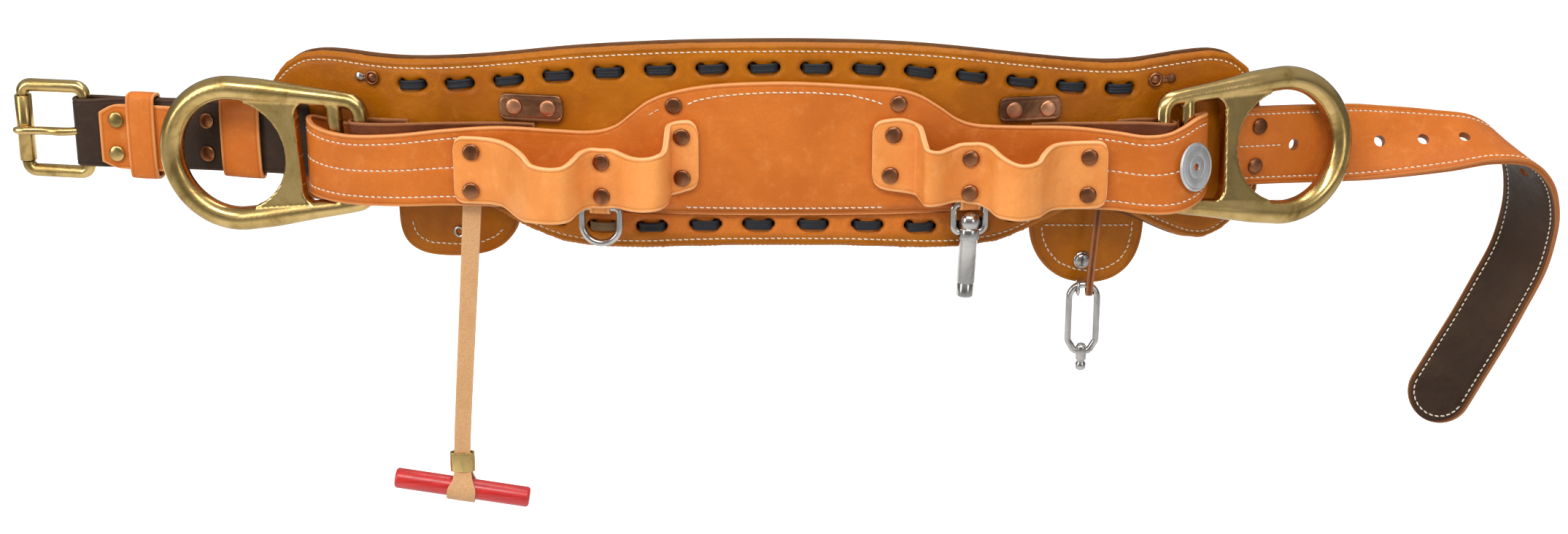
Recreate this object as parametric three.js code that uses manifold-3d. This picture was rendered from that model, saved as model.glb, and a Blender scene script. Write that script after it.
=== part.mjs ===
// Lineman belt: a padded leather body belt with a D-ring saddle, two tool loops and a waist strap.
// Millimetres, +Z up. The belt's outer face looks along -Y and the wearer stands on the +Y side.
// The origin is the middle of the pad's back face, where the belt sits against the wearer.

import * as THREE from 'three';
import { mergeVertices } from 'three/addons/utils/BufferGeometryUtils.js';
import Module from 'manifold-3d';

const wasm = await Module();
wasm.setup();

// Driving dimensions
const BELT_RADIUS = 750; // plan radius of the opened belt
const GAP = 0.3; // clearance between pieces that touch
const PAD_BACK = { inner: 0, outer: 3 };
const PAD_FRONT = { inner: 3.3, outer: 9.6 };
const SADDLE_THICK = 3.5;
const INNER_STRAP_THICK = 2.2;
const WAIST_PLY = 2.6;
const TONGUE_THICK = 4.6;
const LOOP_THICK = 3.4;
const FLAP_THICK = 3.2;
const CLIP_THICK = 2.4;
const LACE = { width: 5.8, thick: 1.8, holeRadius: 3.5, visible: 12.9, inset: 16, rise: 15.2 };
const RIVET = { radius: 5.1, height: 1.9 };
const D_RING = {
  hoopRadius: 41, hoopWire: 7.4, barWire: 5.8, endWire: 5, postWire: 4.8,
  postAt: -67.5, endAt: -84, endHalf: 31.3, corner: 9, webFar: -43, webThick: 8.4,
};
const STRAP_HALF = [[0, 21.6], [22, 22.4]]; // half width of the buckle strap, by the distance from its bar
const BUCKLE = { wire: 4.1, rollerBar: 3.1, halfHeight: 27.5, reach: 40.6, corner: 5.4, z: 4.4 };
const ROLLER = { inner: 3.6, outer: 5.3, length: 42 };
const PRONG = { wire: 2.6, eyeInner: 4.6, eyeOuter: 7, eyeHalf: 2.8, slotHalf: 3.6 };
const SMALL_RING_WIRE = 2.1;
const HANDLE = { radius: 6.35, length: 84, tilt: 0.16, centreZ: -204 };
const T_STRAP = { thick: 2, topZ: -8, footZ: -182, s: -182.5, out: 19.3, drift: -13.4, flare: 0.22 };
const ROUND_SIDES = 10;

const COLOURS = {
  pad: 0xa5641a, lining: 0x5a3418, saddle: 0xcd6e2d, loop: 0xe89a5c, inner: 0x7a3c1c, waist: 0x3c2a1e,
  brass: 0xb9964b, copper: 0x7a4426, steel: 0xb8babc, lace: 0x1e2024, red: 0xcd231e, web: 0xcd965a,
};

const root = new THREE.Group();

function material(colour, roughness, metalness = 0) {
  return new THREE.MeshStandardMaterial({ color: colour, roughness, metalness });
}

const FINISH = {
  pad: () => material(COLOURS.pad, 0.55),
  lining: () => material(COLOURS.lining, 0.7),
  saddle: () => material(COLOURS.saddle, 0.5),
  loop: () => material(COLOURS.loop, 0.5),
  inner: () => material(COLOURS.inner, 0.6),
  waist: () => material(COLOURS.waist, 0.6),
  brass: () => material(COLOURS.brass, 0.35, 1),
  copper: () => material(COLOURS.copper, 0.45, 1),
  steel: () => material(COLOURS.steel, 0.3, 1),
  lace: () => material(COLOURS.lace, 0.6),
  red: () => material(COLOURS.red, 0.3),
  web: () => material(COLOURS.web, 0.8),
};

function addPiece(name, geometry, finish) {
  const mesh = new THREE.Mesh(geometry, FINISH[finish]());
  mesh.name = name;
  root.add(mesh);
  return mesh;
}

// Belt coordinates: s along the belt, out from the pad's back face towards the front, z up
function onBelt(s, out, z = 0) {
  const angle = s / BELT_RADIUS;
  const reach = BELT_RADIUS + out;
  return new THREE.Vector3(reach * Math.sin(angle), BELT_RADIUS - reach * Math.cos(angle), z);
}

function beltTurn(s) {
  return s / BELT_RADIUS;
}

// Value of a short table [[x, value], ...] at x, on a smooth curve without overshoot
function lookUp(table, x) {
  const last = table.length - 1;
  if (x <= table[0][0]) return table[0][1];
  if (x >= table[last][0]) return table[last][1];
  const i = table.findIndex((row) => row[0] > x) - 1;
  const slopeAt = (k) => {
    if (k <= 0 || k >= last) return 0;
    const before = (table[k][1] - table[k - 1][1]) / (table[k][0] - table[k - 1][0]);
    const after = (table[k + 1][1] - table[k][1]) / (table[k + 1][0] - table[k][0]);
    return before * after <= 0 ? 0 : (2 * before * after) / (before + after);
  };
  const span = table[i + 1][0] - table[i][0];
  const t = (x - table[i][0]) / span;
  const rise = t * t * (3 - 2 * t);
  const leave = t * (1 - t) * (1 - t) * span * slopeAt(i);
  const arrive = -t * t * (1 - t) * span * slopeAt(i + 1);
  return table[i][1] + (table[i + 1][1] - table[i][1]) * rise + leave + arrive;
}

// Rows of any number of columns, made finer on a smooth curve through them
function refine(rows, parts) {
  const out = [];
  for (let i = 0; i < rows.length - 1; i += 1) {
    const [a, d] = [rows[Math.max(i - 1, 0)], rows[Math.min(i + 2, rows.length - 1)]];
    const [b, c] = [rows[i], rows[i + 1]];
    for (let k = 0; k < parts; k += 1) {
      const t = k / parts;
      out.push(b.map((_, n) => {
        const m0 = (c[n] - a[n]) / 2;
        const m1 = (d[n] - b[n]) / 2;
        const t2 = t * t;
        const t3 = t2 * t;
        return (2 * t3 - 3 * t2 + 1) * b[n] + (t3 - 2 * t2 + t) * m0
          + (3 * t2 - 2 * t3) * c[n] + (t3 - t2) * m1;
      }));
    }
  }
  out.push(rows[rows.length - 1]);
  return out;
}

// One closed body through rings of points; open ends get a fan, closed loops join up
function skin(rings, closed = false) {
  const count = rings[0].length;
  const position = rings.flat().flatMap((p) => [p.x, p.y, p.z]);
  const index = [];
  const steps = closed ? rings.length : rings.length - 1;
  for (let i = 0; i < steps; i += 1) {
    const here = i * count;
    const next = ((i + 1) % rings.length) * count;
    for (let k = 0; k < count; k += 1) {
      const l = (k + 1) % count;
      index.push(here + k, here + l, next + l, here + k, next + l, next + k);
    }
  }
  if (!closed) {
    const end = (rings.length - 1) * count;
    for (let k = 1; k < count - 1; k += 1) {
      index.push(0, k + 1, k, end, end + k, end + k + 1);
    }
  }
  const geometry = new THREE.BufferGeometry();
  geometry.setAttribute('position', new THREE.Float32BufferAttribute(position, 3));
  geometry.setIndex(index);
  return facingOut(geometry);
}

function signedVolume(geometry) {
  const p = geometry.getAttribute('position');
  const index = geometry.getIndex().array;
  const [a, b, c] = [new THREE.Vector3(), new THREE.Vector3(), new THREE.Vector3()];
  let volume = 0;
  for (let i = 0; i < index.length; i += 3) {
    a.fromBufferAttribute(p, index[i]);
    b.fromBufferAttribute(p, index[i + 1]);
    c.fromBufferAttribute(p, index[i + 2]);
    volume += a.dot(b.cross(c)) / 6;
  }
  return volume;
}

function facingOut(geometry) {
  if (signedVolume(geometry) < 0) {
    const index = geometry.getIndex().array;
    for (let i = 0; i < index.length; i += 3) {
      [index[i], index[i + 1]] = [index[i + 1], index[i]];
    }
  }
  return geometry;
}

// Joining and cutting of closed bodies
function toSolid(geometry) {
  const bare = geometry.clone();
  bare.deleteAttribute('normal');
  bare.deleteAttribute('uv');
  const merged = mergeVertices(bare, 1e-4);
  return new wasm.Manifold(new wasm.Mesh({
    numProp: 3,
    vertProperties: new Float32Array(merged.getAttribute('position').array),
    triVerts: new Uint32Array(merged.getIndex().array),
  }));
}

function fromSolid(solid) {
  const mesh = solid.getMesh();
  const geometry = new THREE.BufferGeometry();
  geometry.setAttribute('position', new THREE.Float32BufferAttribute(mesh.vertProperties, 3));
  geometry.setIndex(new THREE.Uint32BufferAttribute(mesh.triVerts, 1));
  return geometry;
}

function join(...geometries) {
  return fromSolid(geometries.map(toSolid).reduce((a, b) => a.add(b)));
}

function cut(geometry, ...cutters) {
  return fromSolid(cutters.map(toSolid).reduce((a, b) => a.subtract(b), toSolid(geometry)).simplify(0.04));
}

// A wall that stands on a plan path: points {x, y, top, bottom}; a leaning wall also names
// how far its top and bottom edges stand off in plan
function wall(path, thickness, closed = false) {
  const last = path.length - 1;
  const still = { x: 0, y: 0 };
  const rings = path.map((p, i) => {
    const before = closed ? path[(i + last) % path.length] : path[Math.max(i - 1, 0)];
    const after = closed ? path[(i + 1) % path.length] : path[Math.min(i + 1, last)];
    const into = new THREE.Vector2(p.x - before.x, p.y - before.y).normalize();
    const away = new THREE.Vector2(after.x - p.x, after.y - p.y).normalize();
    if (into.lengthSq() === 0) into.copy(away);
    if (away.lengthSq() === 0) away.copy(into);
    const along = into.clone().add(away).normalize();
    const mitre = thickness / 2 / Math.max(along.dot(into), 0.5);
    const [nx, ny] = [along.y * mitre, -along.x * mitre];
    const { topShift = still, bottomShift = still } = p;
    const corner = (sign, z, shift) => (
      new THREE.Vector3(p.x + sign * nx + shift.x, p.y + sign * ny + shift.y, z)
    );
    return [
      corner(1, p.bottom, bottomShift), corner(1, p.top, topShift),
      corner(-1, p.top, topShift), corner(-1, p.bottom, bottomShift),
    ];
  });
  return skin(rings, closed);
}

// A wall whose rows are [s, out, top, bottom, lean] in belt coordinates. The lean tips it back
// towards the wearer above the height LEAN_Z, by so many millimetres a millimetre
const LEAN_Z = 10;

function beltWall(rows, thickness) {
  return wall(rows.map(([s, out, top, bottom, lean = 0]) => {
    const away = outward(s);
    const shift = (z) => ({ x: -away.x * lean * (z - LEAN_Z), y: -away.y * lean * (z - LEAN_Z) });
    return { ...xy(onBelt(s, out)), top, bottom, topShift: shift(top), bottomShift: shift(bottom) };
  }), thickness);
}

function xy(v) {
  return { x: v.x, y: v.y };
}

// Rows for a rounded end of a wall, from the end inwards
function roundCorners(rows, radius) {
  const rounded = (end, next) => {
    const sign = Math.sign(next[0] - end[0]);
    return [0, 30, 60, 90].map((degrees) => {
      const a = THREE.MathUtils.degToRad(degrees);
      const inset = radius * (1 - Math.sin(a));
      const s = end[0] + sign * radius * (1 - Math.cos(a));
      const t = (s - end[0]) / (next[0] - end[0]);
      return end.map((v, n) => {
        const level = v + (next[n] - v) * t;
        if (n === 2) return level - inset;
        if (n === 3) return level + inset;
        return level;
      });
    });
  };
  const last = rows.length - 1;
  return [
    ...rounded(rows[0], rows[1]),
    ...rows.slice(1, last),
    ...rounded(rows[last], rows[last - 1]).reverse(),
  ];
}

// A tube along points that lie flat in their own XY plane: rows [x, y, wire radius]
function flatTube(rows, closed, sides = ROUND_SIDES) {
  const last = rows.length - 1;
  const rings = rows.map(([x, y, wire], i) => {
    const before = closed ? rows[(i + last) % rows.length] : rows[Math.max(i - 1, 0)];
    const after = closed ? rows[(i + 1) % rows.length] : rows[Math.min(i + 1, last)];
    const along = new THREE.Vector2(after[0] - before[0], after[1] - before[1]).normalize();
    return Array.from({ length: sides }, (_, k) => {
      const a = (2 * Math.PI * (k + 0.5)) / sides;
      const side = wire * Math.cos(a);
      return new THREE.Vector3(x + along.y * side, y - along.x * side, wire * Math.sin(a));
    });
  });
  return skin(rings, closed);
}

function flatLoop(rows, sides) {
  return flatTube(rows, true, sides);
}

function arc(cx, cy, radius, fromDegrees, toDegrees, steps, wire) {
  return Array.from({ length: steps + 1 }, (_, i) => {
    const a = THREE.MathUtils.degToRad(fromDegrees + ((toDegrees - fromDegrees) * i) / steps);
    return [cx + radius * Math.cos(a), cy + radius * Math.sin(a), wire];
  });
}

function rod(from, to, radius, sides = ROUND_SIDES) {
  const along = to.clone().sub(from);
  const geometry = new THREE.CylinderGeometry(radius, radius, along.length(), sides);
  geometry.applyQuaternion(new THREE.Quaternion().setFromUnitVectors(
    new THREE.Vector3(0, 1, 0), along.clone().normalize(),
  ));
  geometry.translate(...from.clone().add(to).multiplyScalar(0.5).toArray());
  return geometry;
}

// A turned solid: profile rows [radius, height] that start and end on the axis, axis along +Z
function turned(profile, sides = ROUND_SIDES) {
  const geometry = new THREE.LatheGeometry(profile.map(([r, h]) => new THREE.Vector2(r, h)), sides);
  geometry.rotateX(Math.PI / 2);
  geometry.deleteAttribute('normal');
  geometry.deleteAttribute('uv');
  return facingOut(cleaned(mergeVertices(geometry, 1e-4)));
}

// Triangles with two equal corners, as a lathe makes at its poles, are dropped
function cleaned(geometry) {
  const old = geometry.getIndex().array;
  const index = [];
  for (let i = 0; i < old.length; i += 3) {
    const [a, b, c] = [old[i], old[i + 1], old[i + 2]];
    if (a !== b && b !== c && c !== a) index.push(a, b, c);
  }
  geometry.setIndex(index);
  return geometry;
}

// Sets a solid whose axis is +Z at a place, with that axis turned to face a direction
function seat(geometry, place, facing) {
  geometry.applyQuaternion(new THREE.Quaternion().setFromUnitVectors(new THREE.Vector3(0, 0, 1), facing));
  geometry.translate(place.x, place.y, place.z);
  return geometry;
}

function outward(s, turn = 0) {
  const a = beltTurn(s) + turn;
  return new THREE.Vector3(Math.sin(a), -Math.cos(a), 0);
}

function rivetHead(radius = RIVET.radius, height = RIVET.height) {
  return turned([[0, 0], [radius, 0], [radius * 0.8, height * 0.75], [0, height]], 8);
}

function addRivet(name, place, facing, finish, radius, height) {
  addPiece(name, seat(rivetHead(radius, height), place, facing), finish);
}

// Pad

const PAD_TOP = [
  [-322, 37], [-320, 44], [-313.6, 51.5], [-307, 57], [-300, 61], [-290, 64.2], [-275, 65.2], [-241, 63.5],
  [-220, 64.3], [-190, 67], [-163, 70.4], [-125, 75.8], [-85, 79.3], [-46, 81.4], [2, 82.2], [46, 81.2],
  [85, 78.3], [112, 74.8], [139, 70.8], [167, 66.8], [189, 64], [205, 63.2], [222, 64.8], [245, 66.5],
  [257, 67], [266, 65.7], [274, 63], [281, 58.5], [287, 52], [295, 35], [297.5, 22],
];
const PAD_BOTTOM = [
  [-322, -4], [-320, -14], [-314, -24], [-304, -31], [-288, -33], [-262, -31], [-235, -26.5], [-200, -25],
  [-178, -26], [-164, -32.2], [-146, -41], [-130, -45.6], [-109, -47.4], [-88, -47.2], [-49, -45], [2, -44],
  [37, -44.6], [70, -46.3], [98, -47.5], [120, -46], [137, -42.2], [154, -34], [168, -27.8], [188, -27],
  [205, -31], [218, -38], [234, -46], [247, -51.5], [260, -53.3], [270, -50.3], [280, -43.5], [290, -36],
  [295.5, -30], [297.5, -22],
];
const PAD_STEPS = 32;
const FRONT_INSET = 1.2; // the front layer shows the back layer's edge all round

function padRows(inset, mid) {
  const first = PAD_TOP[0][0] + inset;
  const last = PAD_TOP[PAD_TOP.length - 1][0] - inset;
  return Array.from({ length: PAD_STEPS + 1 }, (_, i) => {
    // stations crowd towards both ends, where the lobes turn
    const t = (1 - Math.cos((Math.PI * i) / PAD_STEPS)) / 2;
    const spread = 0.45 * t + 0.55 * (i / PAD_STEPS);
    const s = first + (last - first) * spread;
    return [s, mid, lookUp(PAD_TOP, s) - inset, lookUp(PAD_BOTTOM, s) + inset];
  });
}

function padLayer({ inner, outer }, inset) {
  return beltWall(padRows(inset, (inner + outer) / 2), outer - inner);
}

// Lacing: a flat lace in a running stitch. Each stitch shows between two holes.

const TOP_STITCHES = Array.from({ length: 15 }, (_, i) => -222.9 + 30.2 * i);
const BOTTOM_STITCHES = [-138, -107.1, -78, -46.3, -15.1, 17, 49, 80.2, 111, 141];
const topLaceZ = (s) => lookUp(PAD_TOP, s) - LACE.inset;
const bottomLaceZ = (s) => lookUp(PAD_BOTTOM, s) + LACE.rise;
const GROOVE_DEPTH = 2.4;
const HALF_STITCH = LACE.visible / 2;

function laceHoles(stitches, zAt) {
  return stitches.flatMap((centre) => [-HALF_STITCH, HALF_STITCH].map((offset) => {
    const s = centre + offset;
    const length = PAD_FRONT.outer - PAD_FRONT.inner + 4;
    const hole = new THREE.CylinderGeometry(LACE.holeRadius, LACE.holeRadius, length, 6);
    const mid = (PAD_FRONT.outer + PAD_FRONT.inner) / 2;
    hole.rotateZ(beltTurn(s));
    const place = onBelt(s, mid, zAt(s));
    hole.translate(place.x, place.y, place.z);
    return hole;
  }));
}

// The groove behind the front layer that the hidden lengths of lace run in
function laceGroove(stitches, zAt) {
  const half = LACE.width / 2 + 0.6;
  const mid = PAD_FRONT.inner + GROOVE_DEPTH / 2 - 0.5;
  const holes = stitches.flatMap((centre) => [centre - HALF_STITCH, centre + HALF_STITCH]);
  const along = [holes[0] - 1.4, ...holes, holes[holes.length - 1] + 1.4];
  const rows = along.map((s) => [s, mid, zAt(s) + half, zAt(s) - half]);
  return beltWall(rows, GROOVE_DEPTH + 1);
}

function lace(stitches, zAt) {
  const low = PAD_FRONT.inner + GAP + LACE.thick / 2;
  const high = PAD_FRONT.outer + GAP + LACE.thick / 2;
  const rows = stitches.flatMap((centre) => {
    const [a, b] = [centre - HALF_STITCH, centre + HALF_STITCH];
    return [[a, low], [a, high], [b, high], [b, low]];
  });
  const half = LACE.width / 2;
  return beltWall(rows.map(([s, out]) => [s, out, zAt(s) + half, zAt(s) - half]), LACE.thick);
}

const padFront = cut(
  padLayer(PAD_FRONT, FRONT_INSET),
  ...laceHoles(TOP_STITCHES, topLaceZ),
  ...laceHoles(BOTTOM_STITCHES, bottomLaceZ),
  laceGroove(TOP_STITCHES, topLaceZ),
  laceGroove(BOTTOM_STITCHES, bottomLaceZ),
);
addPiece('pad_front', padFront, 'pad');
addPiece('pad_back', padLayer(PAD_BACK, 0), 'lining');
addPiece('lace_top', lace(TOP_STITCHES, topLaceZ), 'lace');
addPiece('lace_bottom', lace(BOTTOM_STITCHES, bottomLaceZ), 'lace');

// Saddle: one strap with a raised middle; both ends go round the D-rings' posts and back on the pad

const SADDLE = [ // s, out, top, bottom, lean
  [-222, 12, 21, -22, 0], [-262, 12, 22, -23, 0], [-280, 12.2, 24, -24, 0],
  [-287.4, 15.6, 25.5, -22, 0], [-285.6, 22, 25, -21.8, 0], [-277.6, 28.4, 23, -21.8, 0],
  [-264, 32, 21, -22.6, 0], [-247, 32.8, 20.8, -22.6, 0],
  [-222, 31, 23.3, -21.5, 0], [-195, 26.2, 27, -20, 0], [-165, 19.4, 29, -20.5, 0],
  [-135, 14, 27.5, -21.5, 0], [-113, 12, 27, -22, 0], [-99, 11.7, 30.5, -22.5, 0], [-89, 11.7, 38, -23, 0],
  [-79, 11.7, 46, -23, 0], [-65, 11.7, 52, -23, 0], [-43, 11.7, 56.5, -23, 0], [-14, 11.7, 58.4, -23, 0],
  [16, 11.7, 58.2, -23, 0], [52, 11.7, 55.5, -23, 0], [68, 11.7, 53.4, -23, 0], [79, 11.7, 49.6, -23, 0],
  [90, 11.7, 42.6, -23, 0], [101, 11.7, 34.8, -22.5, 0], [113, 12, 31, -22, 0], [135, 14, 29.6, -22, 0],
  [165, 19.4, 29, -22, 0], [190, 25.2, 26, -22.6, 0.02], [207, 31.7, 23.4, -24, 0.08],
  [220, 35, 24.2, -24, 0.13], [230, 35, 27.5, -22.5, 0.14], [240, 31.6, 31, -19.5, 0.14],
  [248, 24.6, 31, -16, 0.11], [252, 17, 30.4, -16.5, 0.05], [248.4, 12.4, 29, -18, 0],
  [237, 12.2, 26, -20, 0],
];
addPiece('saddle', beltWall(refine(SADDLE, 2), SADDLE_THICK), 'saddle');

// Inner straps: each goes from the pad round the D-ring's end bar and back

function foldRound(centreS, centreOut, radius, side, steps) {
  return Array.from({ length: steps + 1 }, (_, i) => {
    const a = Math.PI / 2 - (Math.PI * i) / steps;
    return [centreS + side * radius * Math.cos(a), centreOut + radius * Math.sin(a)];
  });
}

const END_BARS = { left: { s: -249.2, out: 22.1, lean: 0 }, right: { s: 221.2, out: 25.3, lean: 0.14 } };
const BAR_DROOP = 1.75; // room in the fold for the bar's tilt

// How much the right fold leans, by the distance along the belt, as the saddle's right end does
const FOLD_LEAN = [[185, 0], [190, 0.02], [207, 0.08], [220, 0.13], [230, 0.14]];

function innerStrap(side, bar, lead, tops, bottoms) {
  const radius = D_RING.endWire + 0.4 + INNER_STRAP_THICK / 2;
  const fold = foldRound(bar.s + side * BAR_DROOP, bar.out, radius, side, 6);
  const under = [[bar.s - side * 12, bar.out - radius], [bar.s - side * 26, bar.out - radius - 0.4]];
  const rows = [...lead, ...fold, ...under].map(([s, out]) => {
    const distance = Math.abs(s);
    const lean = side > 0 ? lookUp(FOLD_LEAN, distance) : 0;
    return [s, out, lookUp(tops, distance), lookUp(bottoms, distance), lean];
  });
  return beltWall(rows, INNER_STRAP_THICK);
}

addPiece('inner_strap_left', innerStrap(-1, END_BARS.left, [
  [-146, 11.2], [-160, 11.6], [-172, 13.6], [-186, 17], [-204, 21.6], [-222, 25.8], [-236, 28.2],
], [[146, 30], [200, 29.5], [256, 27]], [[146, -18], [256, -15.4]]), 'inner');
addPiece('inner_strap_right', innerStrap(1, END_BARS.right, [
  [145, 11.2], [156, 11.8], [166, 14], [176, 17.2], [188, 20.6], [200, 25], [210, 29.1], [216, 30.9],
], [[146, 30], [208, 30.6], [232, 28.4]], [[146, -18], [232, -12]]), 'inner');

// D-rings: a hoop, a web, a post for the saddle and an end bar for the inner strap, forged in one

function dRing() {
  const { hoopRadius, hoopWire, barWire, endWire, postWire, postAt, endAt, endHalf, corner } = D_RING;
  const taper = Math.atan2(hoopRadius - endHalf, -endAt);
  const meet = 90 + THREE.MathUtils.radToDeg(taper);
  const wireAt = (x) => lookUp([[endAt, endWire], [-52, barWire], [-14, hoopWire]], x);
  const halfAt = (x) => endHalf + ((hoopRadius - endHalf) * (x - endAt)) / (-5 - endAt);
  const straight = [-20, -36, -52, -66];
  const outline = [
    ...arc(0, 0, hoopRadius, -meet, meet, 20, hoopWire),
    ...straight.map((x) => [x, halfAt(x), wireAt(x)]),
    ...arc(endAt + corner, endHalf - corner + 0.8, corner, 100, 180, 4, endWire),
    ...arc(endAt + corner, -endHalf + corner - 0.8, corner, 180, 260, 4, endWire),
    ...straight.slice().reverse().map((x) => [x, -halfAt(x), wireAt(x)]),
  ];
  const reach = halfAt(postAt);
  const post = rod(new THREE.Vector3(postAt, -reach, 0), new THREE.Vector3(postAt, reach, 0), postWire, 8);
  return join(flatLoop(outline), post, dRingWeb());
}

// The web fills between the round hole and a straight edge, filleted where it meets the bars
function dRingWeb() {
  const { webFar, webThick, hoopRadius, hoopWire } = D_RING;
  const hole = hoopRadius - hoopWire + 0.4;
  const steps = 10;
  const rim = Array.from({ length: steps + 1 }, (_, i) => {
    const a = THREE.MathUtils.degToRad(108 + (144 * i) / steps);
    return [hole * Math.cos(a), hole * Math.sin(a)];
  });
  const edge = [
    [webFar, -25], [webFar - 1.6, -28.5], [webFar - 6, -32.4], [webFar - 6, -34.5], [-14, -38],
  ];
  const far = edge.map(([x, y]) => [x, -y]).reverse();
  const outline = [...far.slice(0, 1), ...rim, ...edge.slice().reverse(), ...far.slice(1).reverse()];
  const shape = new THREE.Shape(outline.map(([x, y]) => new THREE.Vector2(x, y)));
  const geometry = new THREE.ExtrudeGeometry(shape, { depth: webThick, bevelEnabled: false });
  geometry.translate(0, 0, -webThick / 2);
  return geometry;
}

// Each ring's middle, how far its round end turns back, leans back and droops (degrees)
const RING_PLACES = {
  left: { post: { s: -265, out: 24.3 }, z: 6.1, yaw: 12, lean: 0, droop: 3.8, side: -1 },
  right: { post: { s: 237, out: 23.9 }, z: 9.6, yaw: 22, lean: 7.6, droop: 2.8, side: 1 },
};

function ringFrame({ yaw, lean, droop, side }) {
  const [a, l, d] = [yaw, lean, droop].map(THREE.MathUtils.degToRad);
  const out = new THREE.Vector3(side * Math.cos(a), Math.sin(a), 0);
  const face = new THREE.Vector3(side * Math.sin(a), -Math.cos(a), 0);
  const up = new THREE.Vector3(0, 0, Math.cos(l)).addScaledVector(face, -Math.sin(l));
  const reach = out.clone().multiplyScalar(Math.cos(d)).addScaledVector(up, -Math.sin(d));
  const rise = up.clone().multiplyScalar(Math.cos(d)).addScaledVector(out, Math.sin(d));
  return { reach, rise, normal: reach.clone().cross(rise) };
}

function addDRing(name, place) {
  const { reach, rise, normal } = ringFrame(place);
  const post = onBelt(place.post.s, place.post.out, place.z);
  const centre = post.addScaledVector(reach, -D_RING.postAt);
  const geometry = dRing();
  geometry.applyMatrix4(new THREE.Matrix4().makeBasis(reach, rise, normal).setPosition(centre));
  addPiece(name, geometry, 'brass');
}

addDRing('d_ring_left', RING_PLACES.left);
addDRing('d_ring_right', RING_PLACES.right);

// Tool loops: wavy straps riveted to the saddle at three places, with two pockets between

const TOOL_LOOPS = { // distance along the belt from the middle, out, top, bottom
  left: [
    [190, 29.5, 23.9, -17.1], [179.9, 27.1, 23.8, -17.5], [174.2, 25.8, 23.4, -17.7],
    [167.2, 26.8, 23.3, -17.4], [159.3, 31.2, 23.1, -17.3], [150.3, 40.2, 22.5, -19.3],
    [143.5, 47.2, 20.3, -20.2], [137.6, 51.7, 16.1, -19.5], [129, 53.2, 14.8, -19.3],
    [122.1, 52.2, 15.1, -19.1], [118.3, 49.2, 16.4, -18.4], [115.8, 41.2, 18.4, -16.5],
    [114.4, 31.2, 19.4, -16.7], [110.4, 23.9, 19.7, -17.2], [104.4, 23.9, 19.6, -17],
    [98, 23.9, 19.5, -16.6], [92.5, 26.7, 18.3, -16.2], [85.2, 34.2, 18.1, -15.2],
    [77.1, 40.2, 19.3, -13.7], [70, 40.2, 21.1, -12.4], [66.8, 32.2, 22.6, -11.7],
    [66.5, 20.2, 30.9, -10.7], [66, 15.7, 33.6, -10.3], [60.8, 15.6, 35.5, -8.8],
    [54.7, 15.6, 35.9, -6.8], [49.2, 15.6, 34.6, -6.1],
  ],
  right: [
    [186.3, 28.8, 20.8, -19.8], [181.5, 27.4, 21, -20.2], [174.9, 25.9, 21.1, -20.7],
    [164.8, 24.3, 20.9, -20.7], [156.8, 25.6, 20.7, -20.2], [150.6, 31.2, 20.3, -19.3],
    [145.1, 38.2, 18.5, -19.1], [140.4, 43.2, 15.2, -19.4], [132.1, 45.7, 14.4, -19.8],
    [125.7, 44.2, 16.1, -19.5], [120, 39.2, 19.5, -18.9], [116.6, 31.2, 22.3, -16.6],
    [112.6, 25.6, 23.2, -15.2], [106.8, 25, 23.4, -14], [100.4, 25, 23.2, -12.7],
    [94.3, 27.6, 21.9, -12.2], [86.5, 33.3, 21.2, -12.1], [80.4, 34.2, 22.9, -12.1],
    [79.3, 28.2, 25.9, -12], [78.2, 20.2, 31.9, -11], [76.6, 15.8, 33.5, -10.4],
    [71, 15.6, 36.1, -8.9], [65.8, 15.6, 37, -8], [58.9, 15.6, 36.4, -6.7], [50.7, 15.6, 35, -3.9],
  ],
};
const LOOP_CORNER = 6;
const LOOP_RIVETS = { // place, out, slope, then distance and z of the top rivet and of the bottom one
  left: [
    ['outer', 27.1, 0.23, [179.8, 14.8], [180.6, -9]],
    ['middle', 23.9, 0, [103.9, 11.7], [104, -8.9]],
    ['inner', 15.6, 0, [58.7, 26.2], [58.5, 1.2]],
  ],
  right: [
    ['outer', 26.1, 0.2, [175.8, 11.7], [175.6, -11.4]],
    ['middle', 25, 0, [106, 14.2], [105.8, -6.6]],
    ['inner', 15.6, 0, [62.8, 27.4], [61.1, 2.8]],
  ],
};

function addToolLoop(side, label) {
  const rows = TOOL_LOOPS[label].map(([distance, ...rest]) => [side * distance, ...rest]);
  addPiece(`tool_loop_${label}`, beltWall(roundCorners(refine(rows, 1), LOOP_CORNER), LOOP_THICK), 'loop');
  for (const [place, out, slope, top, bottom] of LOOP_RIVETS[label]) {
    const middle = top[0];
    for (const [level, [distance, z]] of [['top', top], ['bottom', bottom]]) {
      const s = side * distance;
      const facing = outward(s, -side * Math.atan(slope));
      const at = onBelt(s, out + slope * (distance - middle), z);
      at.addScaledVector(facing, LOOP_THICK / 2 + GAP + 0.1);
      addRivet(`rivet_loop_${label}_${place}_${level}`, at, facing, 'copper');
    }
  }
}

addToolLoop(-1, 'left');
addToolLoop(1, 'right');

// Rivets on the saddle's raised middle
for (const [label, s, z] of [['left', -63.5, 44], ['right', 66, 45]]) {
  const at = onBelt(s, 11.7 + SADDLE_THICK / 2 + GAP, z);
  addRivet(`rivet_saddle_${label}`, at, outward(s), 'copper');
}

// Copper clips on the pad, two rivets each

function clip(first, last, top, bottom, heads, headZ) {
  const out = PAD_FRONT.outer + GAP + CLIP_THICK / 2;
  const mid = (first + last) / 2;
  const rows = [first, mid, last].map((s) => [s, out, top, bottom]);
  const plate = beltWall(roundCorners(rows, 4), CLIP_THICK);
  return join(plate, ...heads.map((s) => {
    const at = onBelt(s, PAD_FRONT.outer + GAP + CLIP_THICK - 0.2, headZ);
    return seat(rivetHead(), at, outward(s));
  }));
}

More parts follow.
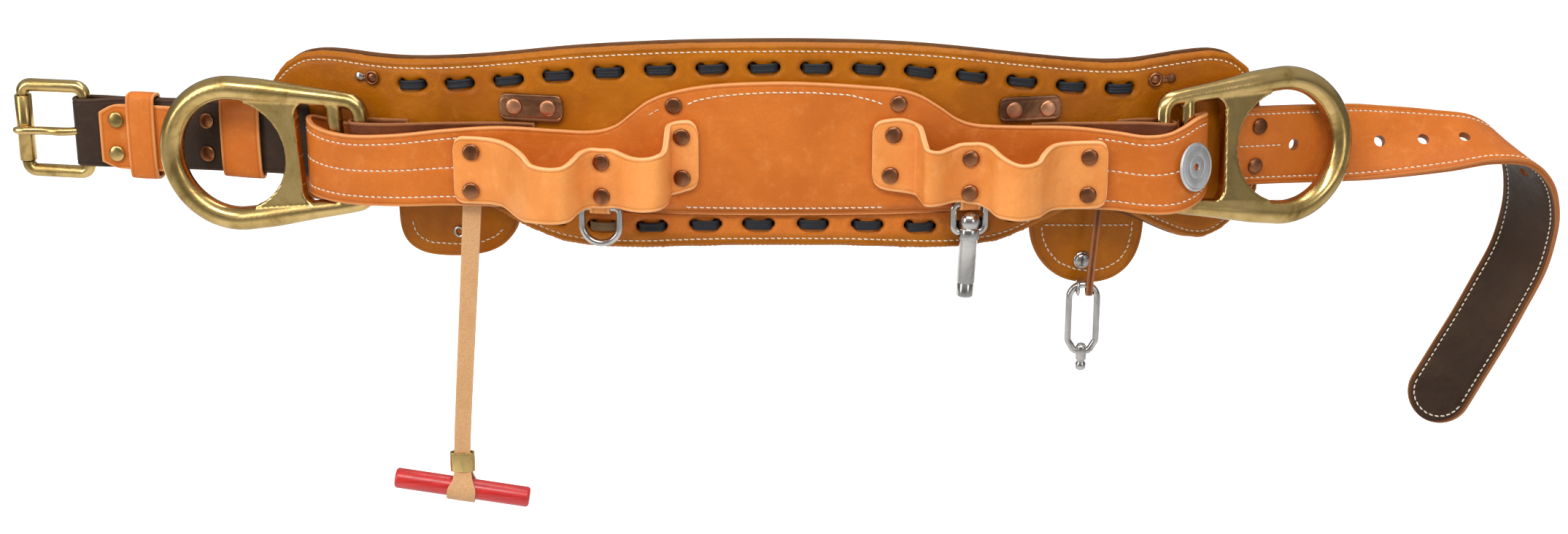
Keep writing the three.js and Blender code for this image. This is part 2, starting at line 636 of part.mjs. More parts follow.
addPiece('clip_left', clip(-167.4, -129, 47.3, 30.5, [-158.3, -137.9], 39.3), 'copper');
addPiece('clip_right', clip(125.2, 162.8, 46.2, 31, [134.3, 154.6], 38.4), 'copper');

// Flaps behind the pad, with a snap on each and a thong, ring and link by the right one

function flap(rows) {
  const out = -GAP - FLAP_THICK / 2;
  return beltWall(rows.map(([s, bottom]) => [s, out, -14, bottom]), FLAP_THICK);
}

addPiece('flap_left', flap([
  [-240, -36], [-239.4, -46], [-236, -54], [-229, -59], [-219, -61.4], [-200, -60.6], [-183, -57.4],
  [-172, -51.6], [-165, -43.6], [-161, -36],
]), 'pad');
addPiece('flap_right', flap([
  [149, -36], [150.4, -47], [154.6, -57], [161.6, -66], [171, -72.8], [183, -76.4], [194, -77],
  [204, -75.4], [213, -70], [219, -62], [222.4, -52], [223.4, -40],
]), 'pad');

const FLAP_FACE = -GAP;
addRivet('snap_left', onBelt(-200, FLAP_FACE + GAP, -44.6), outward(-200), 'steel', 3.6, 1.6);
addRivet('snap_right', onBelt(183.5, FLAP_FACE + GAP, -61.4), outward(183.5), 'steel', 5.2, 2.2);

// Small studs at the pad's upper corners: a pair of heads on one base plate

function cornerStud(first, second, z) {
  const ends = [Math.min(first, second) - 2, Math.max(first, second) + 2];
  const base = beltWall(ends.map((s) => [s, 10.4, z + 2, z - 2]), 1);
  const heads = [[first, 3], [second, 4.6]].map(([s, radius]) => seat(
    rivetHead(radius, 1.6), onBelt(s, PAD_FRONT.outer + GAP, z), outward(s),
  ));
  return join(base, ...heads);
}

addPiece('corner_stud_left', cornerStud(-256.4, -248, 50.6), 'copper');
addPiece('corner_stud_right', cornerStud(232, 221.6, 51.4), 'copper');

// Disc: a thin steel washer on the saddle's right end, where the strap turns back

const DISC = { s: 236, out: 34.2, z: 2.6, radius: 14.6, hole: 2.2, thick: 1.6, turn: 0.44, lean: 0.14 };

function disc() {
  const { radius, hole, thick } = DISC;
  const rim = [[radius, 0], [radius, thick * 0.7], [radius - 0.8, thick]];
  const profile = [[hole, 0], ...rim, [hole, thick], [hole, 0]];
  const geometry = new THREE.LatheGeometry(profile.map(([r, h]) => new THREE.Vector2(r, h)), 18);
  geometry.rotateX(Math.PI / 2);
  geometry.deleteAttribute('normal');
  geometry.deleteAttribute('uv');
  return facingOut(cleaned(mergeVertices(geometry, 1e-4)));
}

const discFacing = outward(DISC.s, DISC.turn).add(new THREE.Vector3(0, 0, DISC.lean)).normalize();
const discPlace = onBelt(DISC.s, DISC.out, DISC.z).addScaledVector(discFacing, SADDLE_THICK / 2 + 0.7);
addPiece('disc', seat(disc(), discPlace, discFacing), 'steel');

// Small rings in leather tabs behind the tool loops, the right one with a steel snap on it

const SMALL_RINGS = {
  left: { s: -106.5, out: 17.8, barZ: -18.4, half: 11.4, bottomZ: -40.4, round: 11.4 },
  right: { s: 107.4, out: 19, barZ: -15.8, half: 9.6, bottomZ: -33.1, round: 4.6 },
};
const TAB = { thick: 1.5, width: 12, leg: 14 };

// A small ring: a straight bar above and rounded lower corners of the given radius
function smallRing({ half, barZ, bottomZ, round }) {
  const drop = barZ - bottomZ;
  const corner = 3;
  const outline = [
    ...arc(half - corner, -corner, corner, 90, 0, 2, SMALL_RING_WIRE),
    ...arc(half - round, -drop + round, round, 0, -90, 5, SMALL_RING_WIRE),
    ...arc(-half + round, -drop + round, round, -90, -180, 5, SMALL_RING_WIRE)
      .slice(round === half ? 1 : 0),
    ...arc(-half + corner, -corner, corner, 180, 90, 2, SMALL_RING_WIRE),
  ];
  const geometry = flatLoop(outline, 6);
  geometry.rotateX(Math.PI / 2);
  return geometry;
}

function placeOnBelt(geometry, s, out, z) {
  geometry.rotateZ(beltTurn(s));
  const at = onBelt(s, out, z);
  geometry.translate(at.x, at.y, at.z);
  return geometry;
}

// A tab is a strip folded round the ring's straight bar
function tab(width) {
  const radius = SMALL_RING_WIRE + GAP + TAB.thick / 2;
  const path = [
    new THREE.Vector2(-radius, TAB.leg),
    ...Array.from({ length: 7 }, (_, i) => {
      const a = Math.PI + (Math.PI * i) / 6;
      return new THREE.Vector2(radius * Math.cos(a), radius * Math.sin(a));
    }),
    new THREE.Vector2(radius, TAB.leg),
  ];
  const rows = path.map((p) => ({ x: p.x, y: p.y, top: width / 2, bottom: -width / 2 }));
  const geometry = wall(rows, TAB.thick);
  geometry.applyMatrix4(new THREE.Matrix4().makeBasis(
    new THREE.Vector3(0, -1, 0), new THREE.Vector3(0, 0, 1), new THREE.Vector3(-1, 0, 0),
  ));
  return geometry;
}

for (const [label, ring] of Object.entries(SMALL_RINGS)) {
  addPiece(`small_ring_${label}`, placeOnBelt(smallRing(ring), ring.s, ring.out, ring.barZ), 'steel');
  addPiece(`ring_tab_${label}`, placeOnBelt(tab(TAB.width), ring.s, ring.out, ring.barZ), 'loop');
}

// Snap: ball head, collar with a cross hole that the ring passes through, barrel and tip

const SNAP = { hole: 2.9, lean: 0.044 };

function snap() {
  const profile = [
    [0, -40.3], [4.2, -40.3], [5, -39.3], [5, -31.6], [5.45, -31], [5.45, -4], [6.3, -3.5],
    [6.3, 2.5], [5, 3.2], [6.1, 5.6], [6.1, 8.2], [4.9, 10.8], [2.8, 12.5], [0, 13],
  ];
  const hole = new THREE.CylinderGeometry(SNAP.hole, SNAP.hole, 20, 8);
  hole.rotateZ(Math.PI / 2);
  const body = cut(turned(profile), hole);
  body.rotateY(SNAP.lean);
  return body;
}

const snapRing = SMALL_RINGS.right;
addPiece('snap_body', placeOnBelt(snap(), snapRing.s, snapRing.out, snapRing.bottomZ), 'steel');

// Ribbon: a flat strap through stations {place, across, half}, of even thickness
function ribbon(stations, thickness) {
  const last = stations.length - 1;
  const rings = stations.map(({ place, across, half }, i) => {
    const before = stations[Math.max(i - 1, 0)].place;
    const after = stations[Math.min(i + 1, last)].place;
    const along = after.clone().sub(before).normalize();
    const side = across.clone().addScaledVector(along, -across.dot(along)).normalize();
    const normal = along.clone().cross(side).normalize().multiplyScalar(thickness / 2);
    const edge = side.multiplyScalar(half);
    return [
      place.clone().add(edge).add(normal),
      place.clone().add(edge).sub(normal),
      place.clone().sub(edge).sub(normal),
      place.clone().sub(edge).add(normal),
    ];
  });
  return skin(rings);
}

function station(x, y, z, ax, ay, az, half) {
  return { place: new THREE.Vector3(x, y, z), across: new THREE.Vector3(ax, ay, az), half };
}

// T strap: hangs behind the saddle, goes round the handle and back up under the ferrule

const T_TOP = onBelt(T_STRAP.s, T_STRAP.out, T_STRAP.topZ);
const T_FOOT = new THREE.Vector3(T_TOP.x + T_STRAP.drift, T_TOP.y, T_STRAP.footZ);
const HANDLE_CENTRE = new THREE.Vector3(T_FOOT.x - 0.6, T_TOP.y + 1.2, HANDLE.centreZ);
const HANDLE_AXIS = new THREE.Vector3(Math.cos(HANDLE.tilt), 0, -Math.sin(HANDLE.tilt));

function tStrap() {
  const flat = new THREE.Vector3(1, 0, 0);
  const onSaddle = onBelt(T_STRAP.s + 1, T_STRAP.out - T_STRAP.flare)
    .sub(onBelt(T_STRAP.s, T_STRAP.out)).normalize();
  const stations = [
    { place: T_TOP, across: onSaddle, half: 5.6 },
    { place: T_TOP.clone().lerp(T_FOOT, 0.1), across: onSaddle, half: 5.6 },
    { place: T_TOP.clone().lerp(T_FOOT, 0.4), across: flat, half: 5.3 },
    { place: T_FOOT.clone().setZ(T_FOOT.z + 6), across: flat, half: 5 },
    { place: T_FOOT.clone().setZ(T_FOOT.z - 11.4), across: flat, half: 5 },
  ];
  const radius = HANDLE.radius + GAP + T_STRAP.thick / 2;
  const rise = new THREE.Vector3(Math.sin(HANDLE.tilt), 0, Math.cos(HANDLE.tilt));
  const front = new THREE.Vector3(0, -1, 0);
  const steps = 10;
  for (let i = 0; i <= steps; i += 1) {
    const a = THREE.MathUtils.degToRad(50 + (258 * i) / steps);
    const place = HANDLE_CENTRE.clone()
      .addScaledVector(rise, radius * Math.cos(a)).addScaledVector(front, radius * Math.sin(a));
    stations.push({ place, across: HANDLE_AXIS, half: i === 0 || i === steps ? 6.6 : 8.8 });
  }
  const back = new THREE.Vector3(T_FOOT.x, T_TOP.y + T_STRAP.thick + 0.4, T_FOOT.z - 11.4);
  stations.push({ place: back, across: flat, half: 5 });
  stations.push({ place: back.clone().setZ(T_FOOT.z + 6), across: flat, half: 4.6 });
  return ribbon(stations, T_STRAP.thick);
}

// Ferrule: a flat brass band round both lengths of the strap
function ferrule() {
  const [halfWide, halfDeep, thick] = [7.1, 3.1, 1.4];
  const corner = 2;
  const path = [
    [halfWide, -halfDeep + corner], [halfWide, halfDeep - corner], [halfWide - corner, halfDeep],
    [-halfWide + corner, halfDeep], [-halfWide, halfDeep - corner], [-halfWide, -halfDeep + corner],
    [-halfWide + corner, -halfDeep], [halfWide - corner, -halfDeep],
  ].map(([x, y]) => ({ x, y, top: 6.2, bottom: -6.2 }));
  const geometry = wall(path, thick, true);
  geometry.translate(T_FOOT.x, T_TOP.y + T_STRAP.thick / 2 + 0.2, T_FOOT.z - 4.4);
  return geometry;
}

function handle() {
  const half = HANDLE.length / 2;
  const [round, r] = [1.6, HANDLE.radius];
  const low = [[0, -half], [r - round, -half], [r, -half + round]];
  const high = [[r, half - round], [r - round, half], [0, half]];
  const profile = [...low, ...high];
  return seat(turned(profile, 12), HANDLE_CENTRE, HANDLE_AXIS);
}

addPiece('t_strap', tStrap(), 'web');
addPiece('t_ferrule', ferrule(), 'brass');
addPiece('t_handle', handle(), 'red');

// Thong, small ring and link that hang at the right

const THONG = { s: 189, out: 11.6, topZ: -16, half: 2.1, thick: 1.8, offset: 3.4 };
const LINK = { half: 8.5, wire: 2.1, centreX: 182, top: -74.1, depth: 42.8 };

const thongTop = onBelt(THONG.s, THONG.out, THONG.topZ);
const linkCentre = new THREE.Vector3(LINK.centreX, thongTop.y + 0.4, LINK.top);

function thong() {
  const across = new THREE.Vector3(1, 0, 0);
  const radius = LINK.wire + GAP + THONG.thick / 2 + 0.5;
  const foot = linkCentre.clone().add(new THREE.Vector3(THONG.offset, 0, -2.6));
  const stations = [
    { place: thongTop, across, half: THONG.half },
    { place: thongTop.clone().lerp(foot, 0.5).add(new THREE.Vector3(0, -1, 0)), across, half: THONG.half },
    { place: foot.clone().add(new THREE.Vector3(0, -radius, 5)), across, half: THONG.half },
  ];
  for (let i = 0; i <= 6; i += 1) {
    const a = (Math.PI * i) / 6;
    stations.push({
      place: foot.clone().add(new THREE.Vector3(0, -radius * Math.cos(a), -radius * Math.sin(a))),
      across,
      half: THONG.half,
    });
  }
  stations.push({ place: foot.clone().add(new THREE.Vector3(0, radius, 6)), across, half: THONG.half });
  return ribbon(stations, THONG.thick);
}

// The link ends in a faceted foot with a short swivel pin through it
function link() {
  const { half, wire, depth } = LINK;
  const outline = [
    ...arc(0, -half, half, 0, 180, 8, wire),
    [-half, -depth + 8.5, wire], [-5.2, -depth + 1.4, wire], [-2, -depth, wire],
    [2, -depth, wire], [5.2, -depth + 1.4, wire], [half, -depth + 8.5, wire],
  ];
  const loop = flatLoop(outline, 6);
  loop.rotateX(Math.PI / 2);
  const foot = [[0, -12.2], [2.8, -11.6], [3.3, -8], [2.5, -6.4], [3.3, -5]];
  const pin = turned([...foot, [3.2, 2.5], [2.4, 4.4], [0, 5]], 8);
  pin.translate(0, 0, -depth);
  return join(loop, pin);
}

const linkPiece = link();
linkPiece.translate(linkCentre.x, linkCentre.y, linkCentre.z);
addPiece('link', linkPiece, 'steel');
addPiece('thong', thong(), 'inner');

// The little ring on the link's top bar, beside the thong
const eyelet = new THREE.TorusGeometry(4.6, 0.9, 5, 10);
eyelet.rotateY(Math.PI / 2);
eyelet.rotateX(0.3);
eyelet.translate(linkCentre.x - 3.4, linkCentre.y, linkCentre.z - 1.75);
addPiece('link_ring', eyelet, 'steel');

// Waist strap, buckle side: one ply runs out from the pad, round the buckle's bar and back

const BUCKLE_LINE = [ // plan of the strap's middle from the pad to the buckle's bar: x, y, z of its middle
  [-288.6, 46.9, 7.4], [-301, 51.5, 7.2], [-316, 56.3, 6.8], [-334, 61.2, 6.2], [-354.6, 66.6, 5.6],
  [-377, 71.8, 5], [-398, 76.2, 4.6], [-418, 79.9, 4.3], [-435.6, 83, 4.2],
];
const PLY_OFFSET = (WAIST_PLY + GAP) / 2;
const FOLD_OFFSET = BUCKLE.wire + GAP + 0.1 + WAIST_PLY / 2;
const RETURN_END = 348; // the return ply ends this far out from the middle of the belt

// The strap's middle with its direction towards the buckle and its front face
const buckleLine = refine(BUCKLE_LINE, 2).map(([x, y, z], i, rows) => {
  const before = rows[Math.max(i - 1, 0)];
  const after = rows[Math.min(i + 1, rows.length - 1)];
  const along = new THREE.Vector3(after[0] - before[0], after[1] - before[1], 0).normalize();
  const front = new THREE.Vector3(-along.y, along.x, 0);
  return { place: new THREE.Vector3(x, y, z), along, front };
});
const bar = buckleLine[buckleLine.length - 1];

function strapAt(x) {
  const i = Math.max(1, buckleLine.findIndex((row) => row.place.x <= x));
  const [a, b] = [buckleLine[i - 1], buckleLine[i]];
  const t = (x - a.place.x) / (b.place.x - a.place.x);
  return {
    place: a.place.clone().lerp(b.place, t),
    along: a.along.clone().lerp(b.along, t).normalize(),
    front: a.front.clone().lerp(b.front, t).normalize(),
  };
}

function ply(rows, side) {
  return rows.map(({ place, front }) => {
    const run = place.distanceTo(bar.place);
    const offset = lookUp([[0, FOLD_OFFSET], [7, FOLD_OFFSET - 0.6], [26, PLY_OFFSET]], run);
    const p = place.clone().addScaledVector(front, side * offset);
    const half = lookUp(STRAP_HALF, run);
    return { x: p.x, y: p.y, top: place.z + half, bottom: place.z - half };
  });
}

function barBend(steps) {
  return Array.from({ length: steps - 1 }, (_, i) => {
    const a = (Math.PI * (i + 1)) / steps;
    const p = bar.place.clone()
      .addScaledVector(bar.front, FOLD_OFFSET * Math.cos(a))
      .addScaledVector(bar.along, FOLD_OFFSET * Math.sin(a));
    const half = STRAP_HALF[0][1];
    return { x: p.x, y: p.y, top: bar.place.z + half, bottom: bar.place.z - half };
  });
}

// The frame of the buckle: X from the strap bar to the roller bar, Y up, Z to the back
function atBuckle(geometry) {
  const up = new THREE.Vector3(0, 0, 1);
  const back = bar.front.clone().negate();
  const place = bar.place.clone().setZ(BUCKLE.z);
  geometry.applyMatrix4(new THREE.Matrix4().makeBasis(bar.along, up, back).setPosition(place));
  return geometry;
}

function buckleStrap() {
  const returning = buckleLine.filter((row) => -row.place.x > RETURN_END).reverse();
  const path = [...ply(buckleLine, 1), ...barBend(6), ...ply(returning, -1)];
  const slot = new THREE.BoxGeometry(27, PRONG.slotHalf * 2, 30);
  slot.translate(-1.5, 0, 0);
  return cut(wall(path, WAIST_PLY), atBuckle(slot));
}

addPiece('buckle_strap', buckleStrap(), 'waist');

function buckleFrame() {
  const { wire, rollerBar, halfHeight, reach, corner } = BUCKLE;
  const neck = ROLLER.length / 2 + 0.5;
  const outline = [
    ...arc(reach - corner, halfHeight - corner, corner, 90, 0, 3, wire),
    [reach, neck + 0.4, wire], [reach, neck, rollerBar],
    [reach, -neck, rollerBar], [reach, -neck - 0.4, wire],
    ...arc(reach - corner, -halfHeight + corner, corner, 0, -90, 3, wire),
    ...arc(corner, -halfHeight + corner, corner, -90, -180, 3, wire),
    ...arc(corner, halfHeight - corner, corner, 180, 90, 3, wire),
  ];
  return atBuckle(flatLoop(outline, 8));
}

function sleeve(inner, outer, half, sides) {
  const profile = [[inner, -half], [outer, -half], [outer, half], [inner, half], [inner, -half]];
  const geometry = new THREE.LatheGeometry(profile.map(([r, h]) => new THREE.Vector2(r, h)), sides);
  geometry.deleteAttribute('normal');
  geometry.deleteAttribute('uv');
  return facingOut(cleaned(mergeVertices(geometry, 1e-4)));
}

function roller() {
  const geometry = sleeve(ROLLER.inner, ROLLER.outer, ROLLER.length / 2, 12);
  geometry.translate(BUCKLE.reach, 0, 0);
  return atBuckle(geometry);
}

// The prong: an eye on the strap bar and a slightly wavy tongue that rests on the roller
function prong() {
  const { wire, eyeInner, eyeOuter, eyeHalf } = PRONG;
  const rest = ROLLER.outer + GAP + wire;
  const rows = [
    [4.6, 3.6, wire], [9, 5.8, wire], [15, 6.9, wire], [22, 6.6, wire], [29, 7, wire],
    [36, rest, wire], [41, rest, wire * 0.95], [44.4, rest - 0.6, wire * 0.7],
  ];
  const tongue = flatTube(rows, false, 8);
  tongue.rotateX(-Math.PI / 2);
  return atBuckle(join(sleeve(eyeInner, eyeOuter, eyeHalf, 14), tongue));
}

addPiece('buckle_frame', buckleFrame(), 'brass');
addPiece('buckle_roller', roller(), 'brass');
addPiece('buckle_prong', prong(), 'brass');

// Billet patch on the strap's front, and two keepers round the strap
const PATCH = { far: -423.5, near: -376, z: 2.5, half: 20.9, thick: 2.4 };

function patch() {
  const xs = [PATCH.far, -415, -404, -392, PATCH.near];
  const rows = xs.map((x, i) => {
    const { place, front } = strapAt(x);
    const run = place.distanceTo(bar.place);
    const under = lookUp([[0, FOLD_OFFSET], [7, FOLD_OFFSET - 0.6], [26, PLY_OFFSET]], run);
    const p = place.addScaledVector(front, under + WAIST_PLY / 2 + GAP + 0.1 + PATCH.thick / 2);
    const inset = i === 0 ? 5 : 0;
    return { x: p.x, y: p.y, top: PATCH.z + PATCH.half - inset, bottom: PATCH.z - PATCH.half + inset };
  });
  return wall(rows, PATCH.thick);
}

addPiece('billet_patch', patch(), 'saddle');

// A keeper: a band round the strap, from its back to its front, of a given width along it
function keeper({ x, width, back, front, z, half, thick }) {
  const round = 2.4;
  const path = [
    [front, -half + round], [front, half - round], [front - round, half], [back + round, half],
    [back, half - round], [back, -half + round], [back + round, -half], [front - round, -half],
  ].map(([px, py]) => ({ x: px, y: py, top: width / 2, bottom: -width / 2 }));
  const geometry = wall(path, thick, true);
  const at = strapAt(x);
  const up = new THREE.Vector3(0, 0, 1);
  geometry.applyMatrix4(new THREE.Matrix4()
    .makeBasis(at.front, up, at.front.clone().cross(up)).setPosition(at.place.setZ(z)));
  return geometry;
}

addPiece('keeper_outer', keeper({
  x: -396.5, width: 18.4, back: -4.9, front: 7.4, z: 3.1, half: 26.4, thick: 2.2,
}), 'saddle');
addPiece('keeper_inner', keeper({
  x: -332.5, width: 26.5, back: -2.2, front: 5.4, z: 6.2, half: 24.8, thick: 2.2,
}), 'saddle');

const ON_PATCH = PATCH.thick + GAP + 0.9;
const STRAP_RIVETS = [ // name, x, z, finish, how far above the strap's face
  ['rivet_patch_top', -412.6, 13.8, 'brass', ON_PATCH],
  ['rivet_patch_bottom', -413.6, -7.8, 'brass', ON_PATCH],
  ['rivet_strap_top', -355, 15.4, 'copper', 0],
  ['rivet_strap_bottom', -355.6, -5.6, 'copper', 0],
];
for (const [name, x, z, finish, lift] of STRAP_RIVETS) {
  const { place, front } = strapAt(x);
  const run = place.distanceTo(bar.place);
  const under = lookUp([[0, FOLD_OFFSET], [7, FOLD_OFFSET - 0.6], [26, PLY_OFFSET]], run);
  const above = under + WAIST_PLY / 2 + GAP + 0.1 + lift;
  addRivet(name, place.addScaledVector(front, above).setZ(z), front, finish);
}

// Waist strap, tongue side: leaves the pad, turns over and hangs down; rows of its middle line

const TONGUE = [ // x, y, z, then the direction across it, then its half width
  [266.4, 35.6, 6.5, 0, 0, 1, 24.5], [281.8, 41.3, 5.5, 0, 0, 1, 24.5], [303.4, 51, 3.7, 0, 0.03, 1, 24.4],
  [327.3, 63, 1.1, 0, 0.12, 0.99, 24.3], [351.3, 72.4, -0.8, -0.03, 0.32, 0.95, 24.1],
  [375.8, 78.6, -2.1, -0.05, 0.56, 0.83, 23.7], [410.2, 83.5, -2.6, -0.09, 0.76, 0.64, 22.9],
  [437.8, 89, -3.4, -0.18, 0.88, 0.44, 22.2], [460.3, 98, -12.5, -0.36, 0.9, 0.24, 21.8],
  [475.2, 109, -31.5, -0.54, 0.82, 0.18, 21.3], [482.6, 120, -55.2, -0.64, 0.74, 0.2, 21.1],
  [483.2, 127.5, -77.2, -0.68, 0.69, 0.24, 21], [479.7, 131, -96.9, -0.7, 0.65, 0.3, 21],
  [470.4, 131.6, -119.2, -0.71, 0.61, 0.34, 21], [459.8, 131.6, -142.9, -0.73, 0.58, 0.36, 21],
  [446.9, 131.4, -168.6, -0.75, 0.55, 0.37, 21], [436.7, 130.6, -188.4, -0.77, 0.52, 0.38, 21],
];
const TONGUE_TIP = [25, 50, 70, 84]; // degrees round the tip
const HOLE_RADIUS = 3.6;
const TONGUE_HOLES = [ // between these rows of the middle line, as row number and part of the way
  [2, 0.34], [3, 0.52], [4, 0.78], [5, 0.66], [6, 0.57], [8, 0.86],
];

const tongueStations = refine(TONGUE, 2).map((row) => station(...row));
const tipFrom = tongueStations[tongueStations.length - 1];
const tipAlong = tipFrom.place.clone().sub(tongueStations[tongueStations.length - 3].place).normalize();
for (const degrees of TONGUE_TIP) {
  const a = THREE.MathUtils.degToRad(degrees);
  tongueStations.push({
    place: tipFrom.place.clone().addScaledVector(tipAlong, tipFrom.half * Math.sin(a)),
    across: tipFrom.across,
    half: tipFrom.half * Math.cos(a),
  });
}

// The tongue's middle, its direction, the way across and its face at a row and part of the way
function tongueAt(row, part) {
  const i = row * 2 + part * 2;
  const k = Math.floor(i);
  const [a, b] = [tongueStations[k], tongueStations[k + 1]];
  const place = a.place.clone().lerp(b.place, i - k);
  const along = b.place.clone().sub(a.place).normalize();
  const across = a.across.clone().lerp(b.across, i - k);
  across.addScaledVector(along, -across.dot(along)).normalize();
  return { place, along, across, face: along.clone().cross(across).normalize() };
}

const holeCutters = TONGUE_HOLES.map(([row, part]) => {
  const { place, face } = tongueAt(row, part);
  const [back, front] = [-8, 8].map((depth) => place.clone().addScaledVector(face, depth));
  return rod(back, front, HOLE_RADIUS, 8);
});
addPiece('tongue_strap', cut(ribbon(tongueStations, TONGUE_THICK), ...holeCutters), 'saddle');

for (const [label, offset] of [['top', 12.6], ['bottom', -12.2]]) {
  const { place, across, face } = tongueAt(1, 0.3);
  const away = face.y < 0 ? face : face.negate();
  place.addScaledVector(across, offset).addScaledVector(away, TONGUE_THICK / 2 + GAP + 0.1);
  addRivet(`rivet_tongue_${label}`, place, away, 'copper');
}

export default root;
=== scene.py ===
import math

import bpy
import numpy as np
from mathutils import Matrix, Vector, noise
from mathutils.bvhtree import BVHTree
from mathutils.kdtree import KDTree


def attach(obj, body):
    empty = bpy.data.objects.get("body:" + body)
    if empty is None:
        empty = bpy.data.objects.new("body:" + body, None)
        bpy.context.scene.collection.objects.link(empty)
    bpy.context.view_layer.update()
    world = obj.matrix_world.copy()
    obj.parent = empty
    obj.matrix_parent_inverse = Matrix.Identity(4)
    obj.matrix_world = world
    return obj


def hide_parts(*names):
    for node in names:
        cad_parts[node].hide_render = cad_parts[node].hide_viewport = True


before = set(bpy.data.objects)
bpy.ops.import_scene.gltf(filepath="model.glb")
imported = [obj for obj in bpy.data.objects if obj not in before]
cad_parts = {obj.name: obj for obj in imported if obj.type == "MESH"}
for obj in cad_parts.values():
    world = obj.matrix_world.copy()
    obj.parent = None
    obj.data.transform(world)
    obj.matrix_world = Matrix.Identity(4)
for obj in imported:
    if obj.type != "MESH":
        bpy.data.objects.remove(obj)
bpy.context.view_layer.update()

# Lineman belt. Lengths are in millimetres until a mesh is made, which is in metres.
MM = 0.001
BELT_RADIUS = 750
GAP = 0.3
Z_AXIS = Vector((0, 0, 1))

# Camera at the photograph's viewing angle
CAMERA = {"place": (0.0, -1.4416, 0.4096), "aim": (0.0, -0.015, -0.0539), "lens": 57.9}

camera_data = bpy.data.cameras.new("camera")
camera_data.lens = CAMERA["lens"]
camera_data.sensor_width = 36
camera = bpy.data.objects.new("camera", camera_data)
camera.location = CAMERA["place"]
aim = Vector(CAMERA["aim"]) - camera.location
camera.rotation_euler = aim.to_track_quat("-Z", "Y").to_euler()
bpy.context.scene.collection.objects.link(camera)
bpy.context.scene.camera = camera


# Curves and belt coordinates: s along the belt, out from the pad's back, z up

def on_belt(s, out, z=0.0):
    angle = s / BELT_RADIUS
    reach = BELT_RADIUS + out
    return Vector((reach * math.sin(angle), BELT_RADIUS - reach * math.cos(angle), z))


def outward(s, turn=0.0):
    angle = s / BELT_RADIUS + turn
    return Vector((math.sin(angle), -math.cos(angle), 0))


def belt_of(points):
    """Belt coordinates in millimetres of an array of points in metres."""
    x, y, z = points[:, 0] / MM, points[:, 1] / MM, points[:, 2] / MM
    s = BELT_RADIUS * np.arctan2(x, BELT_RADIUS - y)
    out = np.hypot(x, BELT_RADIUS - y) - BELT_RADIUS
    return s, out, z


def look_up(table, x):
    """Value of a short table of (x, value) at x, on a smooth curve without overshoot."""
    last = len(table) - 1
    if x <= table[0][0]:
        return table[0][1]
    if x >= table[last][0]:
        return table[last][1]
    i = next(k for k, row in enumerate(table) if row[0] > x) - 1

    def slope(k):
        if k <= 0 or k >= last:
            return 0.0
        before = (table[k][1] - table[k - 1][1]) / (table[k][0] - table[k - 1][0])
        after = (table[k + 1][1] - table[k][1]) / (table[k + 1][0] - table[k][0])
        return 0.0 if before * after <= 0 else 2 * before * after / (before + after)

    span = table[i + 1][0] - table[i][0]
    t = (x - table[i][0]) / span
    rise = t * t * (3 - 2 * t)
    leave = t * (1 - t) ** 2 * span * slope(i)
    arrive = -t * t * (1 - t) * span * slope(i + 1)
    return table[i][1] + (table[i + 1][1] - table[i][1]) * rise + leave + arrive


def smooth_row(rows, u):
    """The row at u on a smooth curve through rows of numbers."""
    count = len(rows)
    i = min(int(u), count - 2)
    t = u - i
    a, b, c, d = (np.array(rows[min(max(k, 0), count - 1)], float) for k in (i - 1, i, i + 1, i + 2))
    leave = (c - a) / 2
    arrive = (d - b) / 2
    t2, t3 = t * t, t * t * t
    return (2 * t3 - 3 * t2 + 1) * b + (t3 - 2 * t2 + t) * leave + (3 * t2 - 2 * t3) * c + (t3 - t2) * arrive


def smoothstep(low, high, x):
    t = np.clip((x - low) / (high - low), 0, 1)
    return t * t * (3 - 2 * t)


# Meshes

def new_object(name, verts, faces, material, metres=False):
    scale = 1.0 if metres else MM
    mesh = bpy.data.meshes.new(name)
    mesh.from_pydata([tuple(Vector(v) * scale) for v in verts], [], faces)
    mesh.validate()
    mesh.update()
    mesh.materials.append(material)
    obj = bpy.data.objects.new(name, mesh)
    bpy.context.scene.collection.objects.link(obj)
    return obj


def merged(*parts):
    verts, faces = [], []
    for part_verts, part_faces in parts:
        first = len(verts)
        verts.extend(part_verts)
        faces.extend([tuple(first + k for k in face) for face in part_faces])
    return verts, faces


def apply_modifiers(obj):
    depsgraph = bpy.context.evaluated_depsgraph_get()
    mesh = bpy.data.meshes.new_from_object(obj.evaluated_get(depsgraph))
    obj.modifiers.clear()
    old = obj.data
    obj.data = mesh
    bpy.data.meshes.remove(old)


def settle(obj, nodes, slot, body="belt", sharp=38):
    """Smooth shading, and the piece's place in the frame."""
    mesh = obj.data
    mesh.polygons.foreach_set("use_smooth", [True] * len(mesh.polygons))
    mesh.set_sharp_from_angle(angle=math.radians(sharp))
    if nodes:
        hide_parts(*nodes)
    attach(obj, body)
    return obj


def set_mark(obj, name, values):
    """A number for each vertex that a material reads."""
    mark = obj.data.attributes.new(name, "FLOAT", "POINT")
    mark.data.foreach_set("value", np.asarray(values, np.float32))


def rings_faces(count, size, closed=False):
    faces = []
    steps = count if closed else count - 1
    for i in range(steps):
        here, there = i * size, ((i + 1) % count) * size
        for k in range(size):
            m = (k + 1) % size
            faces.append((here + k, here + m, there + m, there + k))
    if not closed:
        faces.append(tuple(range(size))[::-1])
        faces.append(tuple((count - 1) * size + k for k in range(size)))
    return faces


